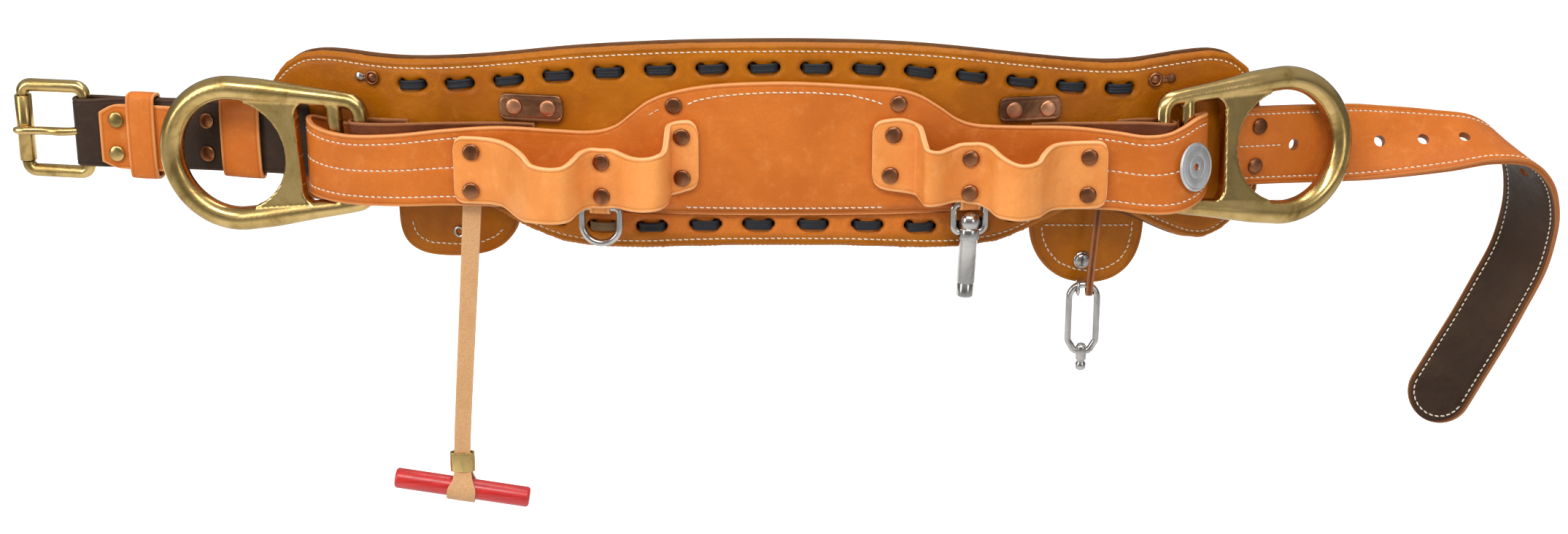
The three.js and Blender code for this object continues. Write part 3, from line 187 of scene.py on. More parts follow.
def wire(rows, closed, sides):
    """A tube along points that lie flat in their own XY plane: rows of x, y, wire radius."""
    verts = []
    last = len(rows) - 1
    for i, (x, y, radius) in enumerate(rows):
        before = rows[i - 1] if closed or i else rows[0]
        after = rows[(i + 1) % len(rows)] if closed or i < last else rows[last]
        along = Vector((after[0] - before[0], after[1] - before[1])).normalized()
        for k in range(sides):
            a = 2 * math.pi * k / sides
            side = radius * math.cos(a)
            verts.append(Vector((x + along.y * side, y - along.x * side, radius * math.sin(a))))
    return verts, rings_faces(len(rows), sides, closed)


def arc(cx, cy, radius, start, stop, steps, width):
    angles = [math.radians(start + (stop - start) * i / steps) for i in range(steps + 1)]
    return [(cx + radius * math.cos(a), cy + radius * math.sin(a), width) for a in angles]


def turned(profile, sides=32, closed=False):
    """A turned body: rows of radius, height about +Z, capped at both ends or closed on itself."""
    verts = [Vector((r * math.cos(2 * math.pi * k / sides), r * math.sin(2 * math.pi * k / sides), h))
             for r, h in profile for k in range(sides)]
    return verts, rings_faces(len(profile), sides, closed)


def sleeve(inner, outer, half, edge=0.3):
    rows = [(inner, -half + edge), (inner + edge, -half), (outer - edge, -half), (outer, -half + edge),
            (outer, half - edge), (outer - edge, half), (inner + edge, half), (inner, half - edge)]
    return turned(rows, closed=True)


def prism(outline, half):
    """A flat outline in XY with straight walls, half to each side."""
    count = len(outline)
    verts = [Vector((x, y, z)) for z in (-half, half) for x, y in outline]
    faces = [(k, (k + 1) % count, count + (k + 1) % count, count + k) for k in range(count)]
    faces += [tuple(reversed(range(count))), tuple(range(count, 2 * count))]
    return verts, faces


def placed(part, x_axis, y_axis, z_axis, origin):
    verts, faces = part
    basis = Matrix((x_axis, y_axis, z_axis)).transposed()
    return [basis @ v + origin for v in verts], faces


def seated(part, place, facing):
    verts, faces = part
    turn = Z_AXIS.rotation_difference(facing)
    return [turn @ v + place for v in verts], faces


def rod(start, stop, radius, sides):
    along = stop - start
    return seated(turned([(radius, 0), (radius, along.length)], sides), start, along.normalized())


def cut_away(obj, part):
    cutter = new_object("cutter", *part, obj.data.materials[0])
    boolean = obj.modifiers.new("cut", "BOOLEAN")
    boolean.operation = "DIFFERENCE"
    boolean.solver = "EXACT"
    boolean.object = cutter
    apply_modifiers(obj)
    bpy.data.objects.remove(cutter)


def drilled(obj, holes):
    """Cuts round holes, each (start, stop, radius) in millimetres."""
    cut_away(obj, merged(*[rod(*hole, 28) for hole in holes]))


def remeshed(obj, voxel, smooth):
    mod = obj.modifiers.new("remesh", "REMESH")
    mod.mode = "VOXEL"
    mod.voxel_size = voxel * MM
    relax = obj.modifiers.new("smooth", "SMOOTH")
    relax.factor = 0.5
    relax.iterations = smooth
    apply_modifiers(obj)


def from_node(node, name, material):
    """A new object with a copy of a CAD node's mesh, its doubled corners joined."""
    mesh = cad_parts[node].data.copy()
    mesh.name = name
    mesh.materials.clear()
    mesh.materials.append(material)
    obj = bpy.data.objects.new(name, mesh)
    bpy.context.scene.collection.objects.link(obj)
    weld = obj.modifiers.new("weld", "WELD")
    weld.merge_threshold = 1e-6
    apply_modifiers(obj)
    return obj


SHARP_ANGLE = 50
SAMPLE_STEP = 1.2
EDGE_REACH = 5.0  # how far from a cut edge its mark fades out


def edge_samples(obj):
    """Points in metres along a mesh's sharp edges."""
    mesh = obj.data
    normals = {}
    for poly in mesh.polygons:
        for key in poly.edge_keys:
            normals.setdefault(key, []).append(poly.normal)
    limit = math.cos(math.radians(SHARP_ANGLE))
    points = []
    for (a, b), sides in normals.items():
        if len(sides) == 2 and sides[0].dot(sides[1]) < limit:
            start, stop = mesh.vertices[a].co, mesh.vertices[b].co
            parts = max(1, int((stop - start).length / MM / SAMPLE_STEP))
            points.extend(start.lerp(stop, i / parts) for i in range(parts + 1))
    return points


def mark_edges(obj, points):
    """Marks how near each vertex is to a cut edge: 1 on it, 0 from the reach on."""
    tree = KDTree(len(points))
    for i, point in enumerate(points):
        tree.insert(point, i)
    tree.balance()
    distance = [tree.find(v.co)[2] / MM for v in obj.data.vertices]
    set_mark(obj, "edge", 1 - np.clip(np.array(distance) / EDGE_REACH, 0, 1))


def softened(node, name, material, slot, bevel, levels=2):
    """A leather piece from its CAD node: its cut edges rounded and its bends made smooth."""
    obj = from_node(node, name, material)
    edges = edge_samples(obj)
    mod = obj.modifiers.new("bevel", "BEVEL")
    mod.width = bevel * MM
    mod.segments = 2
    mod.limit_method = "ANGLE"
    mod.angle_limit = math.radians(SHARP_ANGLE)
    mod.use_clamp_overlap = True
    apply_modifiers(obj)
    round_off = obj.modifiers.new("round", "SUBSURF")
    round_off.levels = levels
    round_off.render_levels = levels
    apply_modifiers(obj)
    mark_edges(obj, edges)
    return settle(obj, [node], slot)


# Straps: a cross-section with rounded cut edges and sewn channels, swept along stations

# Distances from a cut edge where the section has points
EDGE_STEPS = (0.0, 0.2, 0.6, 1.2, 1.9, 2.3, 2.7, 3.3)
SEAM_STEPS = (-1.3, -0.65, 0.0, 0.65, 1.3)
MIDDLE_STEPS = (0.1, 0.2, 0.3, 0.4, 0.5, 0.6, 0.7, 0.8, 0.9)
EDGE_ROUND = 1.2
CREASE = {"inset": 2.3, "depth": 0.28, "width": 0.4}  # the line pressed in along the cut edges
SEAM_DEPTH = 0.5
SEAM_HALF = 0.6


def seam_across(seam, width):
    if seam["at"] == "mid":
        return width / 2
    return seam["inset"] if seam["at"] == "low" else width - seam["inset"]


class Strap:
    """A strap through stations {low, high, normal}: its lower and upper edge and its front."""

    def __init__(self, stations, thick, seams=(), ply=0.0, skive=None):
        self.stations = stations
        self.thick = thick
        self.seams = seams  # {at: low/high/mid, inset, span: (from, to), sides: front/back/both}
        self.ply = ply
        self.skive = skive

    def columns(self, width):
        low = list(EDGE_STEPS)
        high = list(EDGE_STEPS)
        mid = []
        for seam in self.seams:
            if seam["at"] == "mid":
                mid += SEAM_STEPS
            else:
                (low if seam["at"] == "low" else high).extend(seam["inset"] + d for d in SEAM_STEPS)
        reach = max(max(low), max(high)) + 2.0
        squeeze = min(1.0, width / 2 / (reach + (1.5 if mid else 0)))
        low = sorted(v * squeeze for v in low)
        high = sorted(v * squeeze for v in high)
        start, stop = low[-1], width - high[-1]
        inner = [start + (stop - start) * f for f in MIDDLE_STEPS]
        if mid:
            near = 1.5 * squeeze
            inner = [v for k, v in enumerate(inner) if MIDDLE_STEPS[k] != 0.5]
            inner = [v if abs(v - width / 2) > near else width / 2 + math.copysign(near, v - width / 2)
                     for v in inner]
            inner = sorted(inner + [width / 2 + d * squeeze for d in mid])
        return low + inner + [width - v for v in reversed(high)]

    def drop(self, station, across, width, side):
        """How far the surface lies under its full thickness."""
        edge = min(across, width - across)
        round_ = min(EDGE_ROUND, self.thick / 2 - 0.1)
        fall = 0.0
        if edge < round_:
            fall = round_ - math.sqrt(max(round_ ** 2 - (round_ - edge) ** 2, 0))
        fall += CREASE["depth"] * math.exp(-((edge - CREASE["inset"]) / CREASE["width"]) ** 2)
        for seam in self.seams:
            if seam["sides"] not in (side, "both"):
                continue
            start, stop = seam["span"]
            if start <= station["u"] <= stop:
                d = across - seam_across(seam, width)
                fall += SEAM_DEPTH * math.exp(-(d / SEAM_HALF) ** 2)
        if self.skive and side == "front":
            fall += self.skive(station, across)
        return fall

    def point(self, station, across, side):
        low, high = station["low"], station["high"]
        width = (high - low).length
        depth = self.thick / 2 - self.drop(station, across, width, side)
        sign = 1 if side == "front" else -1
        return low.lerp(high, across / width) + station["normal"] * (sign * depth)

    def ring(self, station):
        width = (station["high"] - station["low"]).length
        across = self.columns(width)
        points, edge, depth = [], [], []
        for side, run in (("front", across), ("back", list(reversed(across)))):
            for a in run:
                points.append(self.point(station, a, side))
                edge.append(1 - min(min(a, width - a) / EDGE_REACH, 1))
                depth.append(1.0 if side == "front" else -1.0)
            # the cut edge, with the line between two plies
            rim = self.thick / 2 - min(EDGE_ROUND, self.thick / 2 - 0.1)
            sign = 1 if side == "front" else -1
            corner = station["high"] if side == "front" else station["low"]
            inward = (station["low"] - station["high"]).normalized() * sign
            for part in (0.5, 0.0, -0.5):
                ply = self.ply if part == 0.0 else 0.0
                points.append(corner + inward * ply + station["normal"] * (sign * rim * part))
                edge.append(1.0)
                depth.append(sign * part)
        return points, edge, depth

    def build(self, name, material):
        verts, edge, depth = [], [], []
        first, last = self.stations[0], self.stations[-1]
        for station in self.stations:
            points, e, d = self.ring(station)
            if station is first or station is last:
                middle = (station["low"] + station["high"]) / 2
                e = [1.0] * len(e)
                points = [p + (middle - p).normalized() * 0.5 for p in points]
            verts += points
            edge += e
            depth += d
        size = len(verts) // len(self.stations)
        obj = new_object(name, verts, rings_faces(len(self.stations), size), material)
        set_mark(obj, "edge", edge)
        set_mark(obj, "depth", depth)
        return obj

    def part(self):
        """The strap's plain mesh, without closed-in ends or marks."""
        verts = [point for station in self.stations for point in self.ring(station)[0]]
        return verts, rings_faces(len(self.stations), len(verts) // len(self.stations))

    def seam_line(self, seam, side):
        start, stop = seam["span"]
        line = []
        for station in self.stations:
            if start <= station["u"] <= stop:
                width = (station["high"] - station["low"]).length
                normal = station["normal"] if side == "front" else -station["normal"]
                line.append((self.point(station, seam_across(seam, width), side), normal))
        return line


def even_stations(rows, place, step=1.7):
    """Stations a step apart along rows; place(row) gives the lower and upper edge."""
    stop = len(rows) - 1
    fine = np.linspace(0, stop, stop * 24 + 1)
    ends = [place(smooth_row(rows, u)) for u in fine]
    middle = [(low + high) / 2 for low, high in ends]
    run = np.concatenate([[0], np.cumsum([(b - a).length for a, b in zip(middle, middle[1:])])])
    count = max(int(run[-1] / step), 4)
    stations = []
    for length in np.linspace(0, run[-1], count + 1):
        u = float(np.interp(length, run, fine))
        low, high = place(smooth_row(rows, u))
        stations.append({"u": u, "low": low, "high": high, "run": length})
    return with_normals(stations)


def with_normals(stations):
    last = len(stations) - 1
    for i, station in enumerate(stations):
        before, after = stations[max(i - 1, 0)], stations[min(i + 1, last)]
        along = (after["low"] + after["high"] - before["low"] - before["high"]).normalized()
        across = (station["high"] - station["low"]).normalized()
        station["along"] = along
        station["normal"] = along.cross(across).normalized()
    return stations


# Stitches: short threads that dip into the leather at both ends

CAST_FROM = 25  # how far out the rays start that lay a line on a face
# Along a thread: the part of its length, its lift and its size
THREAD_ROWS = ((0, -0.42, 0.5), (0.14, 0.04, 0.85), (0.5, 0.3, 1), (0.86, 0.04, 0.85), (1, -0.42, 0.5))
THREAD_DIP = 0.42
THREAD_SLANT = 0.32
THREAD_SIDES = 6


def stitches(line, pitch=3.9, length=3.15, radius=0.48):
    """Threads along a line of (point, normal) in millimetres."""
    points = np.array([tuple(p) for p, _ in line])
    normals = np.array([tuple(n) for _, n in line])
    run = np.concatenate([[0], np.cumsum(np.linalg.norm(np.diff(points, axis=0), axis=1))])

    def at(length_along):
        p = Vector([float(np.interp(length_along, run, points[:, k])) for k in range(3)])
        n = Vector([float(np.interp(length_along, run, normals[:, k])) for k in range(3)])
        return p, n.normalized()

    parts = []
    count = int(run[-1] / pitch)
    for i in range(count):
        start = i * pitch + (run[-1] - count * pitch) / 2
        (p0, n0), (p1, n1) = at(start), at(start + length)
        along = (p1 - p0).normalized()
        across = along.cross(n0).normalized()
        slant = THREAD_SLANT * radius
        p0 = p0 - across * slant
        p1 = p1 + across * slant
        verts = []
        for t, lift, size in THREAD_ROWS:
            n = n0.lerp(n1, t)
            centre = p0.lerp(p1, t) + n * lift * radius / THREAD_DIP
            for k in range(THREAD_SIDES):
                a = 2 * math.pi * k / THREAD_SIDES
                verts.append(centre + (across * math.cos(a) + n * math.sin(a)) * radius * size)
        parts.append((verts, rings_faces(len(THREAD_ROWS), THREAD_SIDES)))
    return merged(*parts)


def stitch_piece(name, lines, **sizes):
    parts = [stitches(line, **sizes) for line in lines if len(line) > 3]
    settle(new_object(name, *merged(*parts), THREAD), (), None, sharp=80)


def cast_line(obj, points, directions):
    """Where rays meet an object's surface: points in millimetres, with the surface's normal."""
    mesh = obj.data
    tree = BVHTree.FromPolygons([v.co for v in mesh.vertices], [p.vertices for p in mesh.polygons])
    line = []
    for point, direction in zip(points, directions):
        hit, normal, _, _ = tree.ray_cast(point * MM, direction)
        if hit is not None:
            line.append((hit / MM, normal if normal.dot(direction) < 0 else -normal))
    return line


def divided(points, step):
    """Points at most about a step apart along straight lines, without the last one."""
    fine = []
    for (s0, z0), (s1, z1) in zip(points, points[1:]):
        parts = max(1, int(math.hypot(s1 - s0, z1 - z0) / step))
        fine += [(s0 + (s1 - s0) * i / parts, z0 + (z1 - z0) * i / parts) for i in range(parts)]
    return fine


def cast_on_belt(obj, rows):
    """A stitch line from rows of s, z in belt coordinates, laid on an object's outer face."""
    fine = divided(rows, 1.5) + [rows[-1]]
    points = [on_belt(s, CAST_FROM, z) for s, z in fine]
    return cast_line(obj, points, [-outward(s) for s, z in fine])


# Materials

def node_of(tree, kind, inputs=None, **settings):
    node = tree.nodes.new(kind)
    for key, value in settings.items():
        setattr(node, key, value)
    for key, value in (inputs or {}).items():
        if isinstance(value, bpy.types.NodeSocket):
            tree.links.new(value, node.inputs[key])
        else:
            node.inputs[key].default_value = value
    return node


def rgba(colour):
    return (*colour, 1.0)


class Surface:
    """A principled material with helpers for its noise, colour and bump."""

    def __init__(self, name, **constants):
        self.material = bpy.data.materials.new(name)
        self.material.use_nodes = True
        self.tree = self.material.node_tree
        self.tree.nodes.clear()
        output = self.tree.nodes.new("ShaderNodeOutputMaterial")
        self.shader = self.tree.nodes.new("ShaderNodeBsdfPrincipled")
        self.tree.links.new(self.shader.outputs["BSDF"], output.inputs["Surface"])
        for key, value in constants.items():
            self.shader.inputs[key.replace("_", " ")].default_value = value
        self.coordinate = self.tree.nodes.new("ShaderNodeTexCoord").outputs["Object"]
        self.bump = None

    def stretched(self, scale):
        mapping = node_of(self.tree, "ShaderNodeMapping", {"Vector": self.coordinate, "Scale": scale})
        return mapping.outputs["Vector"]

    def noise(self, scale, detail=4.0, rough=0.55, vector=None, distortion=0.0):
        return node_of(self.tree, "ShaderNodeTexNoise", {
            "Vector": vector or self.coordinate, "Scale": scale, "Detail": detail,
            "Roughness": rough, "Distortion": distortion,
        }).outputs["Fac"]

    def cells(self, scale, vector=None):
        return node_of(self.tree, "ShaderNodeTexVoronoi", {
            "Vector": vector or self.coordinate, "Scale": scale,
        }).outputs["Distance"]

    def mark(self, name):
        return node_of(self.tree, "ShaderNodeAttribute", attribute_name=name).outputs["Fac"]

    def ramp(self, value, low, high, at_low=0.0, at_high=1.0):
        return node_of(self.tree, "ShaderNodeMapRange", {
            "Value": value, "From Min": low, "From Max": high, "To Min": at_low, "To Max": at_high,
        }, interpolation_type="SMOOTHSTEP").outputs["Result"]

    def mix(self, factor, a, b):
        node = self.tree.nodes.new("ShaderNodeMix")
        node.data_type = "RGBA"
        for socket, value in ((node.inputs[0], factor), (node.inputs[6], a), (node.inputs[7], b)):
            if isinstance(value, bpy.types.NodeSocket):
                self.tree.links.new(value, socket)
            else:
                socket.default_value = rgba(value) if isinstance(value, tuple) else value
        return node.outputs[2]

    def add_bump(self, height, distance, strength=1.0):
        inputs = {"Height": height, "Distance": distance * MM, "Strength": strength}
        if self.bump:
            inputs["Normal"] = self.bump
        self.bump = node_of(self.tree, "ShaderNodeBump", inputs).outputs["Normal"]

    def done(self, colour, rough):
        self.tree.links.new(colour, self.shader.inputs["Base Color"])
        self.tree.links.new(rough, self.shader.inputs["Roughness"])
        if self.bump:
            self.tree.links.new(self.bump, self.shader.inputs["Normal"])
        return self.material


def darker(colour):
    return tuple(v * 0.62 for v in colour)


def leather(name, base, shade, light, cut, rough, back=None, warm=None):
    """Oiled leather: blotches, mottling, fine pores, creases, and a lighter cut edge whose band along the
    rounded corner is partly a painted highlight, with a darker pressed line beside it that is partly painted
    shade.
    """
    surface = Surface(name, Coat_Weight=0.02, Coat_Roughness=0.3, Specular_IOR_Level=0.2)
    blotch = surface.noise(14, 5, 0.6, distortion=0.4)
    mottle = surface.noise(120, 5, 0.65)
    fine = surface.noise(700, 3, 0.6)
    streaks = surface.noise(1.0, 3, 0.6, surface.stretched((40, 40, 340)))
    colour = surface.mix(surface.ramp(blotch, 0.36, 0.66), base, shade)
    if warm:
        colour = surface.mix(surface.mark("warm"), colour, warm)
    colour = surface.mix(surface.ramp(mottle, 0.5, 0.78, 0, 0.45), colour, light)
    colour = surface.mix(surface.ramp(streaks, 0.52, 0.72, 0, 0.22), colour, shade)
    colour = surface.mix(surface.ramp(fine, 0.44, 0.6, 0.2, 0.0), colour, shade)
    if back:
        behind = surface.ramp(surface.mark("depth"), -0.1, 0.1, 1, 0)
        back_colour = surface.mix(surface.ramp(blotch, 0.35, 0.65), back, darker(back))
        colour = surface.mix(behind, colour, back_colour)
    edge = surface.mark("edge")
    # The pressed line along the cut edge is darkened: partly its own tone, partly painted shade in its
    # groove.
    pressed_line_and_shade = surface.mix(surface.ramp(edge, 0.4, 0.52, 0, 0.45), colour, darker(shade))
    colour = surface.mix(surface.ramp(edge, 0.56, 0.64), pressed_line_and_shade, colour)
    # The band along the rounded cut edge takes the cut colour: partly the edge's own tone, partly a painted
    # highlight where that colour is lighter than the face.
    rim = surface.ramp(edge, 0.62, 0.9, 0, 0.75)
    colour = surface.mix(rim, colour, cut)
    colour = surface.mix(surface.ramp(edge, 0.95, 1.0, 0, 0.5), colour, shade)
    pores = surface.cells(1150)
    wrinkles = surface.noise(75, 6, 0.6, distortion=0.8)
    surface.add_bump(surface.ramp(wrinkles, 0.3, 0.7), 0.35, 0.6)
    surface.add_bump(pores, 0.16, 0.55)
    surface.add_bump(fine, 0.1, 0.6)
    roughness = surface.ramp(mottle, 0.3, 0.75, rough - 0.07, rough + 0.14)
    return surface.done(colour, roughness)


def metal(name, base, dark, light, rough, tarnish, hammer=0.5, scratch=0.5):
    """Worn metal: tarnish in patches, fine scratches and small dents."""
    surface = Surface(name, Metallic=1.0)
    patches = surface.noise(34, 6, 0.65, distortion=0.6)
    specks = surface.noise(420, 4, 0.7)
    scratches = surface.noise(1.0, 2, 0.5, surface.stretched((2600, 260, 90)))
    dents = surface.noise(95, 3, 0.5)
    colour = surface.mix(surface.ramp(patches, 0.4, 0.62), light, base)
    colour = surface.mix(surface.ramp(patches, 0.54, 0.74, 0, tarnish), colour, dark)
    colour = surface.mix(surface.ramp(specks, 0.62, 0.76, 0, tarnish * 0.5), colour, dark)
    surface.add_bump(dents, 0.5 * hammer, 0.5)
    surface.add_bump(scratches, 0.05 * scratch, 0.4)
    surface.add_bump(specks, 0.03, 0.4)
    roughness = surface.ramp(patches, 0.3, 0.75, rough - 0.04, rough + 0.14)
    return surface.done(colour, roughness)


def thread_material():
    surface = Surface("cream_thread", Sheen_Weight=0.2)
    twist = surface.noise(1.0, 2, 0.5, surface.stretched((2400, 2400, 2400)))
    grime = surface.noise(50, 3, 0.6)
    colour = surface.mix(surface.ramp(twist, 0.35, 0.65), (0.86, 0.78, 0.64), (0.62, 0.5, 0.34))
    colour = surface.mix(surface.ramp(grime, 0.55, 0.75, 0, 0.4), colour, (0.5, 0.34, 0.18))
    surface.add_bump(twist, 0.08)
    return surface.done(colour, surface.ramp(twist, 0.3, 0.7, 0.55, 0.75))


def webbing_material():
    """The handle's coarse tan strap: a small raised mesh."""
    surface = Surface("tan_webbing", Sheen_Weight=0.15)
    weave = surface.cells(1500, vector=surface.stretched((1.0, 1.0, 0.7)))
    fine = surface.noise(900, 3, 0.6)
    blotch = surface.noise(40, 4, 0.6)
    colour = surface.mix(surface.ramp(weave, 0.1, 0.5), (0.42, 0.2, 0.075), (0.62, 0.34, 0.145))
    colour = surface.mix(surface.ramp(blotch, 0.4, 0.7, 0, 0.35), colour, (0.5, 0.24, 0.08))
    edge = surface.ramp(surface.mark("edge"), 0.7, 0.95, 0, 0.7)
    colour = surface.mix(edge, colour, (0.62, 0.36, 0.16))
    surface.add_bump(weave, 0.18, 0.7)
    surface.add_bump(fine, 0.1, 0.6)
    return surface.done(colour, surface.ramp(fine, 0.3, 0.7, 0.55, 0.75))


def lace_material():
    surface = Surface("black_lace", Specular_IOR_Level=0.3)
    ribs = surface.noise(1.0, 3, 0.5, surface.stretched((1300, 300, 300)))
    dust = surface.noise(260, 4, 0.7)
    colour = surface.mix(surface.ramp(dust, 0.55, 0.8, 0, 0.35), (0.009, 0.0105, 0.014), (0.04, 0.045, 0.055))
    khaki = surface.mark("khaki")
    colour = surface.mix(khaki, colour, (0.17, 0.105, 0.045))
    surface.add_bump(ribs, 0.14)
    return surface.done(colour, surface.ramp(dust, 0.3, 0.7, 0.42, 0.6))


def red_material():
    surface = Surface("red_painted_wood", Coat_Weight=0.35, Coat_Roughness=0.18)
    wear = surface.noise(160, 4, 0.65)
    grain = surface.noise(1.0, 4, 0.6, surface.stretched((30, 700, 700)))
    colour = surface.mix(surface.ramp(grain, 0.35, 0.7), (0.6, 0.018, 0.014), (0.42, 0.01, 0.01))
    chips = surface.ramp(wear, 0.7, 0.74, 0, 0.6)
    colour = surface.mix(chips, colour, (0.72, 0.2, 0.13))
    surface.add_bump(grain, 0.08)
    return surface.done(colour, surface.ramp(wear, 0.3, 0.7, 0.28, 0.42))


ORANGE = (0.62, 0.165, 0.022)
ORANGE_SHADE = (0.5, 0.122, 0.013)
PAD = leather("mustard_leather", (0.45, 0.135, 0.001), (0.33, 0.088, 0.0), (0.54, 0.18, 0.004),
              (0.36, 0.11, 0.004), rough=0.4, warm=ORANGE)
LINING = leather("lining_leather", (0.16, 0.062, 0.014), (0.09, 0.032, 0.009), (0.2, 0.09, 0.025),
                 (0.12, 0.045, 0.012), rough=0.6)
SADDLE_SKIN = leather("orange_leather", ORANGE, ORANGE_SHADE, (0.72, 0.26, 0.06),
                      (0.75, 0.36, 0.14), rough=0.4)
LOOP_SKIN = leather("tan_leather", (0.86, 0.33, 0.085), (0.72, 0.24, 0.05), (0.92, 0.42, 0.14),
                    (0.84, 0.5, 0.24), rough=0.38)
INNER_SKIN = leather("brown_leather", (0.17, 0.045, 0.012), (0.1, 0.024, 0.007), (0.25, 0.075, 0.024),
                     (0.4, 0.16, 0.06), rough=0.45)
WAIST_SKIN = leather("dark_leather", (0.05, 0.026, 0.014), (0.028, 0.015, 0.009), (0.09, 0.05, 0.026),
                     (0.075, 0.038, 0.02), rough=0.48)
TONGUE_SKIN = leather("strap_leather", ORANGE, ORANGE_SHADE, (0.72, 0.26, 0.06),
                      (0.42, 0.16, 0.045), rough=0.4, back=(0.045, 0.021, 0.009))
BRASS = metal("aged_brass", (0.46, 0.31, 0.105), (0.11, 0.065, 0.022), (0.62, 0.43, 0.17), 0.2, 0.75, 0.35)
COPPER = metal("worn_copper", (0.2, 0.072, 0.03), (0.05, 0.02, 0.011), (0.34, 0.14, 0.066), 0.27, 0.7, 0.6)
CLIP_COPPER = metal("clip_copper", (0.46, 0.2, 0.1), (0.12, 0.045, 0.022), (0.62, 0.3, 0.17), 0.32, 0.5, 0.6)
DARK_COPPER = metal("dark_copper", (0.16, 0.07, 0.036), (0.04, 0.022, 0.015), (0.36, 0.17, 0.085), 0.36, 0.7)
STEEL = metal("nickel_steel", (0.38, 0.36, 0.34), (0.07, 0.065, 0.06), (0.55, 0.53, 0.5), 0.18, 0.7, 0.25)
GREY_STEEL = metal("grey_steel", (0.62, 0.63, 0.64), (0.2, 0.2, 0.2), (0.78, 0.79, 0.8), 0.42, 0.4, 0.4, 2.0)
THREAD = thread_material()
WEBBING = webbing_material()
LACE_SKIN = lace_material()
RED = red_material()


# Pad: a cushioned front layer with a sewn channel and embossed lace holes, and a plain lining

PAD_TOP = [
    (-322, 37), (-320, 44), (-313.6, 51.5), (-307, 57), (-300, 61), (-290, 64.2), (-275, 65.2),
    (-241, 63.5), (-220, 64.3), (-190, 67), (-163, 70.4), (-125, 75.8), (-85, 79.3), (-46, 81.4),
    (2, 82.2), (46, 81.2), (85, 78.3), (112, 74.8), (139, 70.8), (167, 66.8), (189, 64), (205, 63.2),
    (222, 64.8), (245, 66.5), (257, 67), (266, 65.7), (274, 63), (281, 58.5), (287, 52), (295, 35),
    (297.5, 22),
]
PAD_BOTTOM = [
    (-322, -4), (-320, -14), (-314, -24), (-304, -31), (-288, -33), (-262, -31), (-235, -26.5),
    (-200, -25), (-178, -26), (-164, -32.2), (-146, -41), (-130, -45.6), (-109, -47.4), (-88, -47.2),
    (-49, -45), (2, -44), (37, -44.6), (70, -46.3), (98, -47.5), (120, -46), (137, -42.2),
    (154, -34), (168, -27.8), (188, -27), (205, -31), (218, -38), (234, -46), (247, -51.5),
    (260, -53.3), (270, -50.3), (280, -43.5), (290, -36), (295.5, -30), (297.5, -22),
]
PAD_FACE = 9.6
PAD_SEAM_INSET = 6.2
PAD_EDGE = {"reach": 4.2, "fall": 2.6}  # how the cushion rounds off towards its edge
PAD_CHANNEL = {"inset": PAD_SEAM_INSET - 1.2, "depth": 0.75, "width": 1.1}
LACE_RIDGE = {"at": 6.0, "height": 0.55, "width": 1.0}  # the swelling round each stitch of lace
LACE_DENT = {"depth": 0.7, "width": 3.6}
LACE = {"width": 5.8, "thick": 1.8, "half": 6.45, "inset": 16, "rise": 15.2}
TOP_LACES = [-222.9 + 30.2 * i for i in range(15)]
BOTTOM_LACES = [-138, -107.1, -78, -46.3, -15.1, 17, 49, 80.2, 111, 141]
KHAKI_LACE = 1  # this lace of the lower row is a brown one


OUTLINE_STEP = 2.0


def pad_outline(inset):
    """The pad's edge in s, z, moved in by an inset, as a closed run of points."""
    first, last = PAD_TOP[0][0], PAD_TOP[-1][0]
    count = int((last - first) / OUTLINE_STEP)
    across = [first + (last - first) * (1 - math.cos(math.pi * i / count)) / 2 for i in range(count + 1)]
    loop = [(s, look_up(PAD_TOP, s)) for s in across]
    loop += [(s, look_up(PAD_BOTTOM, s)) for s in reversed(across)]
    points = np.array(divided(loop + loop[:1], OUTLINE_STEP))
    for _ in range(6):
        points = (np.roll(points, 1, 0) + points + np.roll(points, -1, 0)) / 3
    along = np.roll(points, -2, 0) - np.roll(points, 2, 0)
    along /= np.maximum(np.linalg.norm(along, axis=1)[:, None], 1e-6)
    return points + np.stack([along[:, 1], -along[:, 0]], 1) * inset


def lace_places():
    top = [(s, look_up(PAD_TOP, s) - LACE["inset"]) for s in TOP_LACES]
    bottom = [(s, look_up(PAD_BOTTOM, s) + LACE["rise"]) for s in BOTTOM_LACES]
    return top, bottom


